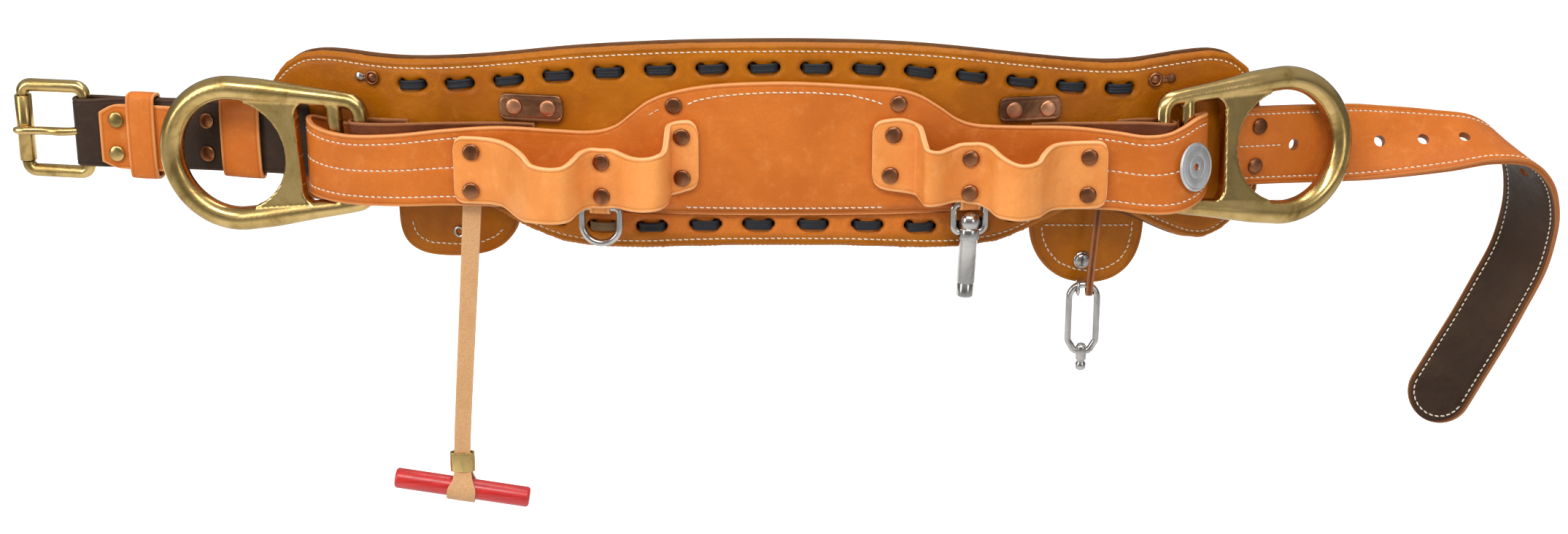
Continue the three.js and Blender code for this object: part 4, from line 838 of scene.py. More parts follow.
def pad_front():
    obj = from_node("pad_front", "pad_front_leather", PAD)
    remeshed(obj, 1.5, 5)
    mesh = obj.data
    count = len(mesh.vertices)
    co = np.zeros(count * 3)
    mesh.vertices.foreach_get("co", co)
    co = co.reshape(-1, 3)
    s, out, z = belt_of(co)
    outline = pad_outline(1.2)
    tree = KDTree(len(outline))
    for i, (a, b) in enumerate(outline):
        tree.insert((a, b, 0), i)
    tree.balance()
    edge = np.array([tree.find((a, b, 0))[2] for a, b in zip(s, z)])
    front = smoothstep(5.2, 8.6, out)
    near = 1 - np.clip(edge / PAD_EDGE["reach"], 0, 1)
    fall = PAD_EDGE["fall"] * (1 - np.sqrt(1 - near ** 2 * 0.999))
    fall += PAD_CHANNEL["depth"] * np.exp(-((edge - PAD_CHANNEL["inset"]) / PAD_CHANNEL["width"]) ** 2)
    top, bottom = lace_places()
    for centre, level in top + bottom:
        reach = np.abs(s - centre) - LACE["half"]
        ring = np.hypot(np.maximum(reach, 0), z - level)
        fall -= LACE_RIDGE["height"] * np.exp(-((ring - LACE_RIDGE["at"]) / LACE_RIDGE["width"]) ** 2)
        fall += LACE_DENT["depth"] * np.exp(-(ring / LACE_DENT["width"]) ** 2)
    swell = np.array([noise.noise(Vector((a / 38, b / 24, 1.7))) for a, b in zip(s, z)])
    creases = np.array([noise.noise(Vector((a / 9, b / 15, 4.2))) for a, b in zip(s, z)])
    fall += -0.45 * swell + 0.12 * creases
    angle = s / BELT_RADIUS
    shift = -fall * front * MM
    co[:, 0] += np.sin(angle) * shift
    co[:, 1] -= np.cos(angle) * shift
    mesh.vertices.foreach_set("co", co.ravel())
    mesh.update()
    set_mark(obj, "edge", np.where(out > 3.6, 1 - np.clip(edge / 7.0, 0, 1), 1))
    warm = smoothstep(128, 84, np.abs(s + 4)) * smoothstep(-38.5, -33, z) * smoothstep(40, 10, z)
    set_mark(obj, "warm", warm * 0.95)
    settle(obj, ["pad_front"], "pad_leather", sharp=60)
    return obj


LACE_ROWS = (  # along the lace, height over the pad's face
    (-7.9, -5.4), (-7.3, -2.0), (-6.2, 0.4), (-4, 1.3), (0, 1.6),
    (4, 1.25), (6.2, 0.3), (7.3, -2.0), (7.9, -5.4),
)


def laces(name, places, node, khaki=None):
    """Each visible stitch of lace: a flat strip that rises from one hole and dips into the next."""
    parts, marks = [], []
    for k, (s, z) in enumerate(places):
        tilt = 0.05 * math.sin(7.3 * k + 1)
        swell = 1 + 0.06 * math.sin(5.1 * k)
        slope = (places[min(k + 1, len(places) - 1)][1] - places[max(k - 1, 0)][1]) / 61.0

        def place(row, s=s, z=z, tilt=tilt, swell=swell, slope=slope):
            along, rise = row
            level = z + (tilt + slope) * along
            half = LACE["width"] / 2 * swell
            centre = on_belt(s + along, PAD_FACE + rise, level)
            return centre - Z_AXIS * half, centre + Z_AXIS * half

        part = Strap(even_stations(LACE_ROWS, place, 0.9), LACE["thick"]).part()
        parts.append(part)
        marks += [1.0 if k == khaki else 0.0] * len(part[0])
    obj = new_object(name, *merged(*parts), LACE_SKIN)
    set_mark(obj, "khaki", marks)
    settle(obj, [node], "lace", sharp=60)


pad = pad_front()
softened("pad_back", "pad_lining", LINING, "lining_leather", 0.9, levels=1)
top_places, bottom_places = lace_places()
laces("lace_top_run", top_places, "lace_top")
laces("lace_bottom_run", bottom_places, "lace_bottom", KHAKI_LACE)
seam = [tuple(p) for p in pad_outline(PAD_SEAM_INSET)]
stitch_piece("pad_stitches", [cast_on_belt(pad, seam + seam[:1])], pitch=3.7, length=2.9, radius=0.44)


# Saddle: one strap with a raised middle, sewn at both ends

SADDLE = [  # s, out, top, bottom, lean
    (-222, 12, 21, -22, 0), (-262, 12, 22, -23, 0), (-280, 12.2, 24, -24, 0),
    (-287.4, 15.6, 25.5, -22, 0), (-285.6, 22, 25, -21.8, 0), (-277.6, 28.4, 23, -21.8, 0),
    (-264, 32, 21, -22.6, 0), (-247, 32.8, 20.8, -22.6, 0),
    (-222, 31, 23.3, -21.5, 0), (-195, 26.2, 27, -20, 0), (-165, 19.4, 29, -20.5, 0),
    (-135, 14, 27.5, -21.5, 0), (-113, 12, 27, -22, 0), (-99, 11.7, 30.5, -22.5, 0),
    (-89, 11.7, 38, -23, 0), (-79, 11.7, 46, -23, 0), (-65, 11.7, 52, -23, 0), (-43, 11.7, 56.5, -23, 0),
    (-14, 11.7, 58.4, -23, 0), (16, 11.7, 58.2, -23, 0), (52, 11.7, 55.5, -23, 0),
    (68, 11.7, 53.4, -23, 0), (79, 11.7, 49.6, -23, 0), (90, 11.7, 42.6, -23, 0),
    (101, 11.7, 34.8, -22.5, 0), (113, 12, 31, -22, 0), (135, 14, 29.6, -22, 0),
    (165, 19.4, 29, -22, 0), (190, 25.2, 26, -22.6, 0.02), (207, 31.7, 23.4, -24, 0.08),
    (220, 35, 24.2, -24, 0.13), (230, 35, 27.5, -22.5, 0.14), (240, 31.6, 31, -19.5, 0.14),
    (248, 24.6, 31, -16, 0.11), (252, 17, 30.4, -16.5, 0.05), (248.4, 12.4, 29, -18, 0),
    (237, 12.2, 26, -20, 0),
]
SADDLE_THICK = 3.5
SADDLE_OUT = 11.7  # the middle of the saddle's thickness where it lies on the pad
LEAN_Z = 10
LEFT_SPAN, RIGHT_SPAN = (3.3, 9.3), (27.6, 33.2)
HUMP_SEAM = [(-55.9, 44.4), (-50.9, 47.1), (-38.3, 49.9), (-24, 51.4), (-7.7, 52.4), (16.1, 52.3),
             (37, 50.8), (51.3, 47.1), (57.6, 44.4)]
LOWER_SEAM = [(-58.8, -18), (59.7, -18)]
FAINT_SEAM = [(-79.7, 36.8), (-69.9, 42.8)]


def belt_wall_edges(row):
    s, out, top, bottom, lean = row
    away = outward(s)
    low = on_belt(s, out, bottom) - away * (lean * (bottom - LEAN_Z))
    high = on_belt(s, out, top) - away * (lean * (top - LEAN_Z))
    return low, high


def saddle_skive(station, across):
    """The raised middle's lower edge is pared down to meet the pad."""
    middle = smoothstep(11.5, 14.5, station["u"]) * smoothstep(25.5, 22.5, station["u"])
    return float(middle * 3.0 * (1 - smoothstep(0, 7, across)))


def seams_for(spans, inset, mids, sides="front"):
    rows = [{"at": at, "inset": inset, "span": span, "sides": sides}
            for span in spans for at in ("low", "high")]
    return rows + [{"at": "mid", "inset": 0, "span": span, "sides": sides} for span in mids]


def sewn(strap, name):
    stitch_piece(name, [strap.seam_line(row, side) for row in strap.seams for side in ("front", "back")
                        if row["sides"] in (side, "both")])


saddle_strap = Strap(
    even_stations(SADDLE, belt_wall_edges), SADDLE_THICK,
    seams_for((LEFT_SPAN, RIGHT_SPAN), 5.8, (LEFT_SPAN, RIGHT_SPAN)), skive=saddle_skive,
)
saddle = saddle_strap.build("saddle_leather_strap", SADDLE_SKIN)
settle(saddle, ["saddle"], "saddle_leather", sharp=50)
sewn(saddle_strap, "saddle_stitches")
stitch_piece("saddle_middle_stitches", [cast_on_belt(saddle, rows) for rows in (HUMP_SEAM, LOWER_SEAM)])
stitch_piece("saddle_faint_stitches", [cast_on_belt(saddle, FAINT_SEAM)], radius=0.28)


# Tool loops: wavy straps with rounded ends

TOOL_LOOPS = {  # distance along the belt from the middle, out, top, bottom
    "left": [
        (190, 29.5, 23.9, -17.1), (179.9, 27.1, 23.8, -17.5), (174.2, 25.8, 23.4, -17.7),
        (167.2, 26.8, 23.3, -17.4), (159.3, 31.2, 23.1, -17.3), (150.3, 40.2, 22.5, -19.3),
        (143.5, 47.2, 20.3, -20.2), (137.6, 51.7, 16.1, -19.5), (129, 53.2, 14.8, -19.3),
        (122.1, 52.2, 15.1, -19.1), (118.3, 49.2, 16.4, -18.4), (115.8, 41.2, 18.4, -16.5),
        (114.4, 31.2, 19.4, -16.7), (110.4, 23.9, 19.7, -17.2), (104.4, 23.9, 19.6, -17),
        (98, 23.9, 19.5, -16.6), (92.5, 26.7, 18.3, -16.2), (85.2, 34.2, 18.1, -15.2),
        (77.1, 40.2, 19.3, -13.7), (70, 40.2, 21.1, -12.4), (66.8, 32.2, 22.6, -11.7),
        (66.5, 20.2, 30.9, -10.7), (66, 15.7, 33.6, -10.3), (60.8, 15.6, 35.5, -8.8),
        (54.7, 15.6, 35.9, -6.8), (49.2, 15.6, 34.6, -6.1),
    ],
    "right": [
        (186.3, 28.8, 20.8, -19.8), (181.5, 27.4, 21, -20.2), (174.9, 25.9, 21.1, -20.7),
        (164.8, 24.3, 20.9, -20.7), (156.8, 25.6, 20.7, -20.2), (150.6, 31.2, 20.3, -19.3),
        (145.1, 38.2, 18.5, -19.1), (140.4, 43.2, 15.2, -19.4), (132.1, 45.7, 14.4, -19.8),
        (125.7, 44.2, 16.1, -19.5), (120, 39.2, 19.5, -18.9), (116.6, 31.2, 22.3, -16.6),
        (112.6, 25.6, 23.2, -15.2), (106.8, 25, 23.4, -14), (100.4, 25, 23.2, -12.7),
        (94.3, 27.6, 21.9, -12.2), (86.5, 33.3, 21.2, -12.1), (80.4, 34.2, 22.9, -12.1),
        (79.3, 28.2, 25.9, -12), (78.2, 20.2, 31.9, -11), (76.6, 15.8, 33.5, -10.4),
        (71, 15.6, 36.1, -8.9), (65.8, 15.6, 37, -8), (58.9, 15.6, 36.4, -6.7), (50.7, 15.6, 35, -3.9),
    ],
}
LOOP_THICK = 3.4
LOOP_CORNER = 6
LOOP_RIVETS = {  # place, out, slope, then distance and z of the top rivet and of the bottom one
    "left": [
        ("outer", 27.1, 0.23, (179.8, 14.8), (180.6, -9)), ("middle", 23.9, 0, (103.9, 11.7), (104, -8.9)),
        ("inner", 15.6, 0, (58.7, 26.2), (58.5, 1.2)),
    ],
    "right": [
        ("outer", 26.1, 0.2, (175.8, 11.7), (175.6, -11.4)), ("middle", 25, 0, (106, 14.2), (105.8, -6.6)),
        ("inner", 15.6, 0, (62.8, 27.4), (61.1, 2.8)),
    ],
}
RIVET = {"radius": 5.1, "height": 1.9}


def rounded_ends(stations, radius):
    """Draws both corners of a strap's ends in to a radius."""
    total = stations[-1]["run"]
    for station in stations:
        inner = min(station["run"], total - station["run"])
        if inner < radius:
            inset = radius - math.sqrt(radius ** 2 - (radius - inner) ** 2)
            across = (station["high"] - station["low"]).normalized()
            station["low"] = station["low"] + across * inset
            station["high"] = station["high"] - across * inset
    return stations


def tool_loop(side, label):
    def place(row):
        distance, out, top, bottom = row
        return on_belt(side * distance, out, bottom), on_belt(side * distance, out, top)

    rows = TOOL_LOOPS[label] if side < 0 else TOOL_LOOPS[label][::-1]
    strap = Strap(rounded_ends(even_stations(rows, place, 1.2), LOOP_CORNER), LOOP_THICK)
    obj = strap.build(f"tool_loop_{label}_leather", LOOP_SKIN)
    settle(obj, [f"tool_loop_{label}"], "loop_leather", sharp=50)


def rivet_part(radius, height, sides=28):
    """A burr rivet's head: a flat dome with a rolled rim."""
    profile = [(radius * 0.96, 0), (radius, height * 0.22), (radius * 0.97, height * 0.5),
               (radius * 0.9, height * 0.68), (radius * 0.7, height * 0.84), (radius * 0.4, height * 0.95),
               (radius * 0.1, height)]
    return turned(profile, sides)


def rivet(node, place, facing, material=COPPER, slot="copper"):
    part = seated(rivet_part(RIVET["radius"], RIVET["height"]), place, facing)
    settle(new_object(f"{node}_head", *part, material), [node], slot, sharp=60)


for side, label in ((-1, "left"), (1, "right")):
    tool_loop(side, label)
    for place_name, out, slope, top, bottom in LOOP_RIVETS[label]:
        for level, (distance, z) in (("top", top), ("bottom", bottom)):
            s = side * distance
            facing = outward(s, -side * math.atan(slope))
            at = on_belt(s, out + slope * (distance - top[0]), z) + facing * (LOOP_THICK / 2 + GAP + 0.1)
            rivet(f"rivet_loop_{label}_{place_name}_{level}", at, facing)
for label, s, z in (("left", -63.5, 44), ("right", 66, 45)):
    rivet(f"rivet_saddle_{label}", on_belt(s, SADDLE_OUT + SADDLE_THICK / 2 + GAP, z), outward(s))


# Inner straps, flaps, tabs and thong

for label in ("left", "right"):
    softened(f"inner_strap_{label}", f"inner_strap_{label}_leather", INNER_SKIN, "brown_leather", 0.5)
    softened(f"ring_tab_{label}", f"ring_tab_{label}_leather", LOOP_SKIN, "loop_leather", 0.3)
FLAP_SEAMS = {
    "left": [(-231, -40), (-229.6, -46), (-226, -50.4), (-219, -53.2), (-200, -52.6), (-185, -50),
             (-176, -45.4), (-171, -40)],
    "right": [(156.8, -38), (158, -46), (161.6, -54), (168.2, -61.7), (179.2, -67.2), (190.2, -69),
              (199.7, -67.9), (207.7, -63.9), (213.1, -56.4), (215.2, -46), (215.6, -38)],
}
FLAP_CROSS_SEAM = [(158.5, -37.4), (214.5, -41.6)]
for label, rows in FLAP_SEAMS.items():
    flap = softened(f"flap_{label}", f"flap_{label}_leather", PAD, "pad_leather", 0.8)
    lines = [cast_on_belt(flap, rows)]
    if label == "right":
        lines.append(cast_on_belt(flap, FLAP_CROSS_SEAM))
    stitch_piece(f"flap_{label}_stitches", lines, pitch=3.7, length=2.9)
softened("thong", "thong_leather", INNER_SKIN, "brown_leather", 0.4)
softened("t_strap", "handle_strap", WEBBING, "webbing", 0.4)


# Clips, studs, snaps and disc

CLIP_THICK = 2.4
CLIP_CORNER = 4.5


def clip(label, first, last, top, bottom, head_places, head_z):
    rows = [(s, PAD_FACE + GAP + CLIP_THICK / 2, top, bottom, 0) for s in np.linspace(first, last, 5)]
    strap = Strap(rounded_ends(even_stations(rows, belt_wall_edges, 1.0), CLIP_CORNER), CLIP_THICK)
    settle(strap.build(f"clip_{label}_plate", DARK_COPPER), [f"clip_{label}"], "copper", sharp=50)
    head = rivet_part(RIVET["radius"], RIVET["height"])
    heads = [seated(head, on_belt(s, PAD_FACE + GAP + CLIP_THICK - 0.2, head_z), outward(s))
             for s in head_places]
    settle(new_object(f"clip_{label}_rivets", *merged(*heads), CLIP_COPPER), (), "copper", sharp=60)


clip("left", -167.4, -129, 47.3, 30.5, (-158.3, -137.9), 39.3)
clip("right", 125.2, 162.8, 46.2, 31, (134.3, 154.6), 38.4)


def torus(ring, tube):
    angles = [2 * math.pi * k / 28 for k in range(28)]
    return wire([(ring * math.cos(a), ring * math.sin(a), tube) for a in angles], True, 12)


def corner_stud(label, first, second, z, stud_material):
    face = PAD_FACE + GAP
    stud = seated(rivet_part(3.0, 1.7, 8), on_belt(first, face, z), outward(first))
    obj = new_object(f"corner_stud_{label}_head", *stud, stud_material)
    settle(obj, [f"corner_stud_{label}"], "copper", sharp=30)
    ring = seated(torus(3.7, 0.9), on_belt(second, face + 0.9, z), outward(second))
    dome = seated(rivet_part(2.9, 1.2), on_belt(second, face, z), outward(second))
    low, high = min(first, second) - 2, max(first, second) + 2
    rows = [(s, face + 0.4, z + 2, z - 2, 0) for s in np.linspace(low, high, 4)]
    plate = Strap(even_stations(rows, belt_wall_edges, 1.0), 0.9).part()
    eyelet = new_object(f"corner_stud_{label}_eyelet", *merged(ring, dome, plate), COPPER)
    settle(eyelet, (), "copper", sharp=50)


corner_stud("left", -256.4, -248, 50.6, STEEL)
corner_stud("right", 232, 221.6, 51.4, DARK_COPPER)

# The left flap's eyelet, and the right flap's domed stud
eyelet_place = on_belt(-200, 0.1, -44.6)
settle(new_object("snap_left_eyelet", *seated(torus(2.9, 0.85), eyelet_place, outward(-200)), STEEL),
       ["snap_left"], "steel")
stud_profile = [(5.4, 0), (5.5, 0.5), (5.0, 1.1), (4.7, 1.2), (4.3, 2.0), (3.2, 2.7), (1.6, 3.0), (0.2, 3.05)]
stud_place = on_belt(183.5, 0.0, -61.4)
settle(new_object("snap_right_dome", *seated(turned(stud_profile), stud_place, outward(183.5)), STEEL),
       ["snap_right"], "steel")

DISC = {"s": 236, "out": 34.2, "z": 2.6, "turn": 0.44, "lean": 0.14}
disc_facing = (outward(DISC["s"], DISC["turn"]) + Z_AXIS * DISC["lean"]).normalized()
disc_place = on_belt(DISC["s"], DISC["out"], DISC["z"]) + disc_facing * (SADDLE_THICK / 2 + 0.7)
disc_rows = [(2.2, 0.2), (2.5, 0), (14.3, 0), (14.6, 0.3), (14.6, 1.0), (14.2, 1.4), (13.4, 1.6),
             (12.9, 1.35), (12.5, 1.35), (12.2, 1.55), (7.0, 1.55), (6.8, 1.4), (6.6, 1.55),
             (3.0, 1.6), (2.4, 1.5), (2.2, 1.3)]
disc_part = seated(turned(disc_rows, 48, True), disc_place, disc_facing)
settle(new_object("disc_washer", *disc_part, GREY_STEEL), ["disc"], "steel")


# D-rings: forged in one, so their parts are blended by a remesh

D_RING = {
    "hoop": 41, "hoop_wire": 7.4, "bar_wire": 5.8, "end_wire": 5, "post_wire": 4.8, "post_at": -67.5,
    "end_at": -84, "end_half": 31.3, "corner": 9, "web_far": -43, "web_thick": 8.4,
}
RING_PLACES = {
    "left": {"s": -265, "out": 24.3, "z": 6.1, "yaw": 12, "lean": 0, "droop": 3.8, "side": -1},
    "right": {"s": 237, "out": 23.9, "z": 9.6, "yaw": 22, "lean": 7.6, "droop": 2.8, "side": 1},
}


def d_ring_part():
    d = D_RING
    taper = math.degrees(math.atan2(d["hoop"] - d["end_half"], -d["end_at"]))
    meet = 90 + taper
    wires = [(d["end_at"], d["end_wire"]), (-52, d["bar_wire"]), (-14, d["hoop_wire"])]

    def half_at(x):
        return d["end_half"] + (d["hoop"] - d["end_half"]) * (x - d["end_at"]) / (-5 - d["end_at"])

    straight = list(range(-20, -70, -4))
    upper = [(x, half_at(x), look_up(wires, x)) for x in straight]
    lower = [(x, -half_at(x), look_up(wires, x)) for x in reversed(straight)]
    corner, end, half = d["corner"], d["end_at"], d["end_half"]
    outline = (arc(0, 0, d["hoop"], -meet, meet, 60, d["hoop_wire"]) + upper
               + arc(end + corner, half - corner + 0.8, corner, 100, 180, 8, d["end_wire"])
               + arc(end + corner, -half + corner - 0.8, corner, 180, 260, 8, d["end_wire"]) + lower)
    reach = half_at(d["post_at"])
    post = rod(Vector((d["post_at"], -reach, 0)), Vector((d["post_at"], reach, 0)), d["post_wire"], 24)
    return merged(wire(outline, True, 28), post, d_ring_web())


def d_ring_web():
    d = D_RING
    hole = d["hoop"] - d["hoop_wire"] + 0.4
    rim = [(x, y) for x, y, _ in arc(0, 0, hole, 108, 252, 32, 0)]
    far = d["web_far"]
    edge = [(far, -25), (far - 1.6, -28.5), (far - 6, -32.4), (far - 6, -34.5), (-14, -38)]
    mirrored = [(x, -y) for x, y in reversed(edge)]
    return prism(mirrored[:1] + rim + edge[::-1] + mirrored[1:][::-1], d["web_thick"] / 2)


def d_ring(label):
    p = RING_PLACES[label]
    yaw, lean, droop = (math.radians(p[key]) for key in ("yaw", "lean", "droop"))
    out = Vector((p["side"] * math.cos(yaw), math.sin(yaw), 0))
    face = Vector((p["side"] * math.sin(yaw), -math.cos(yaw), 0))
    up = Z_AXIS * math.cos(lean) - face * math.sin(lean)
    reach = out * math.cos(droop) - up * math.sin(droop)
    rise = up * math.cos(droop) + out * math.sin(droop)
    centre = on_belt(p["s"], p["out"], p["z"]) - reach * D_RING["post_at"]
    part = placed(d_ring_part(), reach, rise, reach.cross(rise), centre)
    obj = new_object(f"d_ring_{label}_forging", *part, BRASS)
    remeshed(obj, 0.75, 7)
    settle(obj, [f"d_ring_{label}"], "ring_brass", sharp=75)


d_ring("left")
d_ring("right")


# Buckle strap: one ply runs out to the buckle's bar, round it and back

BUCKLE_LINE = [  # plan of the strap's middle from the pad to the buckle's bar: x, y, z of its middle
    (-288.6, 46.9, 7.4), (-301, 51.5, 7.2), (-316, 56.3, 6.8), (-334, 61.2, 6.2), (-354.6, 66.6, 5.6),
    (-377, 71.8, 5), (-398, 76.2, 4.6), (-418, 79.9, 4.3), (-435.6, 83, 4.2),
]
WAIST_PLY = 2.6
BUCKLE = {"wire": 4.1, "roller_bar": 3.1, "half": 27.5, "reach": 40.6, "corner": 5.4, "z": 4.4}
ROLLER = {"inner": 3.6, "outer": 5.3, "length": 42}
PRONG = {"wire": 2.6, "eye_inner": 4.6, "eye_outer": 7, "eye_half": 2.8, "slot_half": 3.6}
SLOT = {"start": -15.5, "stop": 14, "reach": 16}
PLY_OFFSET = (WAIST_PLY + GAP) / 2
FOLD_OFFSET = BUCKLE["wire"] + GAP + 0.1 + WAIST_PLY / 2
STRAP_HALF = [(0, 21.6), (22, 22.4)]
RETURN_END = 348


def buckle_line():
    line = []
    for i in range((len(BUCKLE_LINE) - 1) * 8 + 1):
        u = i / 8
        place = Vector(smooth_row(BUCKLE_LINE, u))
        ahead = smooth_row(BUCKLE_LINE, min(u + 0.05, len(BUCKLE_LINE) - 1))
        behind = smooth_row(BUCKLE_LINE, max(u - 0.05, 0))
        along = Vector((ahead[0] - behind[0], ahead[1] - behind[1], 0)).normalized()
        line.append({"u": u, "place": place, "along": along, "front": Vector((-along.y, along.x, 0))})
    return line


LINE = buckle_line()
BAR = LINE[-1]


def ply_offset(run):
    return look_up([(0, FOLD_OFFSET), (7, FOLD_OFFSET - 0.6), (26, PLY_OFFSET)], run)


def buckle_strap():
    stations = []

    def add(u, centre, z, half):
        low, high = Vector((centre.x, centre.y, z - half)), Vector((centre.x, centre.y, z + half))
        stations.append({"u": u, "low": low, "high": high, "run": 0})

    for row in LINE:
        run = (row["place"] - BAR["place"]).length
        centre = row["place"] + row["front"] * ply_offset(run)
        add(row["u"], centre, row["place"].z, look_up(STRAP_HALF, run))
    for i in range(1, 18):
        a = math.pi * i / 18
        turn = BAR["front"] * FOLD_OFFSET * math.cos(a) + BAR["along"] * FOLD_OFFSET * math.sin(a)
        add(20, BAR["place"] + turn, BAR["place"].z, STRAP_HALF[0][1])
    for row in reversed(LINE):
        if -row["place"].x > RETURN_END:
            run = (row["place"] - BAR["place"]).length
            centre = row["place"] - row["front"] * ply_offset(run)
            add(30, centre, row["place"].z, look_up(STRAP_HALF, run))
    return Strap(with_normals(stations), WAIST_PLY, seams_for([(0, 2.9)], 4.6, [(0, 2.9)]))


def slotted(obj):
    """The slot for the prong, with a round end."""
    half = PRONG["slot_half"]
    outline = [(SLOT["start"] + half - half * math.cos(a), half * math.sin(a))
               for a in np.linspace(-math.pi / 2, math.pi / 2, 12)]
    outline += [(SLOT["stop"], half), (SLOT["stop"], -half)]
    cut_away(obj, at_buckle(prism(outline, SLOT["reach"])))


def at_buckle(part):
    """The buckle's own frame: X from the strap's bar to the roller, Y up, Z to the back."""
    origin = Vector((BAR["place"].x, BAR["place"].y, BUCKLE["z"]))
    return placed(part, BAR["along"], Z_AXIS, -BAR["front"], origin)


waist_strap = buckle_strap()
waist = waist_strap.build("buckle_strap_leather", WAIST_SKIN)
slotted(waist)
settle(waist, ["buckle_strap"], "dark_leather", sharp=50)
sewn(waist_strap, "buckle_strap_stitches")

corner, reach, half, bar_wire = BUCKLE["corner"], BUCKLE["reach"], BUCKLE["half"], BUCKLE["wire"]
neck = ROLLER["length"] / 2 + 0.5
frame_outline = (
    arc(reach - corner, half - corner, corner, 90, 0, 8, bar_wire)
    + [(reach, neck + 0.4, bar_wire), (reach, neck, BUCKLE["roller_bar"])]
    + [(reach, -neck, BUCKLE["roller_bar"]), (reach, -neck - 0.4, bar_wire)]
    + arc(reach - corner, -half + corner, corner, 0, -90, 8, bar_wire)
    + arc(corner, -half + corner, corner, -90, -180, 8, bar_wire)
    + arc(corner, half - corner, corner, 180, 90, 8, bar_wire)
)
buckle = new_object("buckle_frame_wire", *at_buckle(wire(frame_outline, True, 24)), BRASS)
settle(buckle, ["buckle_frame"], "ring_brass", "buckle", sharp=60)
ON_BAR = Vector((1, 0, 0)), Vector((0, 0, -1)), Vector((0, 1, 0))  # axes of a part that turns on a bar
roller_sleeve = sleeve(ROLLER["inner"], ROLLER["outer"], ROLLER["length"] / 2)
roller_part = placed(roller_sleeve, *ON_BAR, Vector((reach, 0, 0)))
roller = new_object("buckle_roller_sleeve", *at_buckle(roller_part), BRASS)
settle(roller, ["buckle_roller"], "ring_brass", "roller", sharp=60)
rest = ROLLER["outer"] + GAP + PRONG["wire"]
prong_rows = [  # x, height over the bar, wire
    (4.6, 3.6, 2.6), (9, 5.8, 2.6), (15, 6.9, 2.7), (22, 6.6, 2.6), (29, 7, 2.6), (36, rest, 2.6),
    (41, rest, 2.45), (43.4, rest - 0.3, 2.1), (44.6, rest - 0.6, 1.4), (45, rest - 0.7, 0.5),
]
prong_path = [tuple(smooth_row(prong_rows, u)) for u in np.linspace(0, len(prong_rows) - 1, 46)]
prong_eye = sleeve(PRONG["eye_inner"], PRONG["eye_outer"], PRONG["eye_half"], edge=0.6)
prong_part = placed(merged(wire(prong_path, False, 20), prong_eye), *ON_BAR, Vector())
prong = new_object("buckle_prong_tongue", *at_buckle(prong_part), BRASS)
settle(prong, ["buckle_prong"], "ring_brass", "prong", sharp=60)

for node in ("billet_patch", "keeper_outer", "keeper_inner"):
    softened(node, f"{node}_leather", SADDLE_SKIN, "saddle_leather", 0.6)


def on_line(x):
    i = next(k for k, row in enumerate(LINE) if row["place"].x <= x)
    a, b = LINE[i - 1], LINE[i]
    t = (x - a["place"].x) / (b["place"].x - a["place"].x)
    return a["place"].lerp(b["place"], t), a["front"].lerp(b["front"], t).normalized()


ON_PATCH = 2.4 + GAP + 0.9
for node, x, z, skin, slot, lift in (
    ("rivet_patch_top", -412.6, 13.8, BRASS, "ring_brass", ON_PATCH),
    ("rivet_patch_bottom", -413.6, -7.8, BRASS, "ring_brass", ON_PATCH),
    ("rivet_strap_top", -355, 15.4, COPPER, "copper", 0),
    ("rivet_strap_bottom", -355.6, -5.6, COPPER, "copper", 0),
):
    place, front = on_line(x)
    run = (place - BAR["place"]).length
    at = place + front * (ply_offset(run) + WAIST_PLY / 2 + GAP + 0.1 + lift)
    at.z = z
    rivet(node, at, front, skin, slot)


# Tongue strap: two plies, orange outside and dark inside, turned over and hanging

TONGUE = [  # x, y, z, then the direction across it, then its half width
    (266.4, 35.6, 6.5, 0, 0, 1, 24.5), (281.8, 41.3, 5.5, 0, 0, 1, 24.5), (303.4, 51, 3.7, 0, 0.03, 1, 24.4),
    (327.3, 63, 1.1, 0, 0.12, 0.99, 24.3), (351.3, 72.4, -0.8, -0.03, 0.32, 0.95, 24.1),
    (375.8, 78.6, -2.1, -0.05, 0.56, 0.83, 23.7), (410.2, 83.5, -2.6, -0.09, 0.76, 0.64, 22.9),
    (437.8, 89, -3.4, -0.18, 0.88, 0.44, 22.2), (460.3, 98, -12.5, -0.36, 0.9, 0.24, 21.8),
    (475.2, 109, -31.5, -0.54, 0.82, 0.18, 21.3), (482.6, 120, -55.2, -0.64, 0.74, 0.2, 21.1),
    (483.2, 127.5, -77.2, -0.68, 0.69, 0.24, 21), (479.7, 131, -96.9, -0.7, 0.65, 0.3, 21),
    (470.4, 131.6, -119.2, -0.71, 0.61, 0.34, 21), (459.8, 131.6, -142.9, -0.73, 0.58, 0.36, 21),
    (446.9, 131.4, -168.6, -0.75, 0.55, 0.37, 21), (436.7, 130.6, -188.4, -0.77, 0.52, 0.38, 21),
]
TONGUE_THICK = 4.6
TONGUE_INSET = 4.6
TIP_DEGREES = (6, 12, 20, 28, 36, 44, 52, 60, 67, 73, 78, 82, 85.5)  # where the round tip has stations
TONGUE_HOLES = [(2, 0.34), (3, 0.52), (4, 0.78), (5, 0.66), (6, 0.57), (8, 0.86)]  # row, part of the way
HOLE_RADIUS = 3.6


def tongue_edges(row):
    place, half = Vector(row[:3]), row[6]
    across = Vector(row[3:6]).normalized()
    return place - across * half, place + across * half


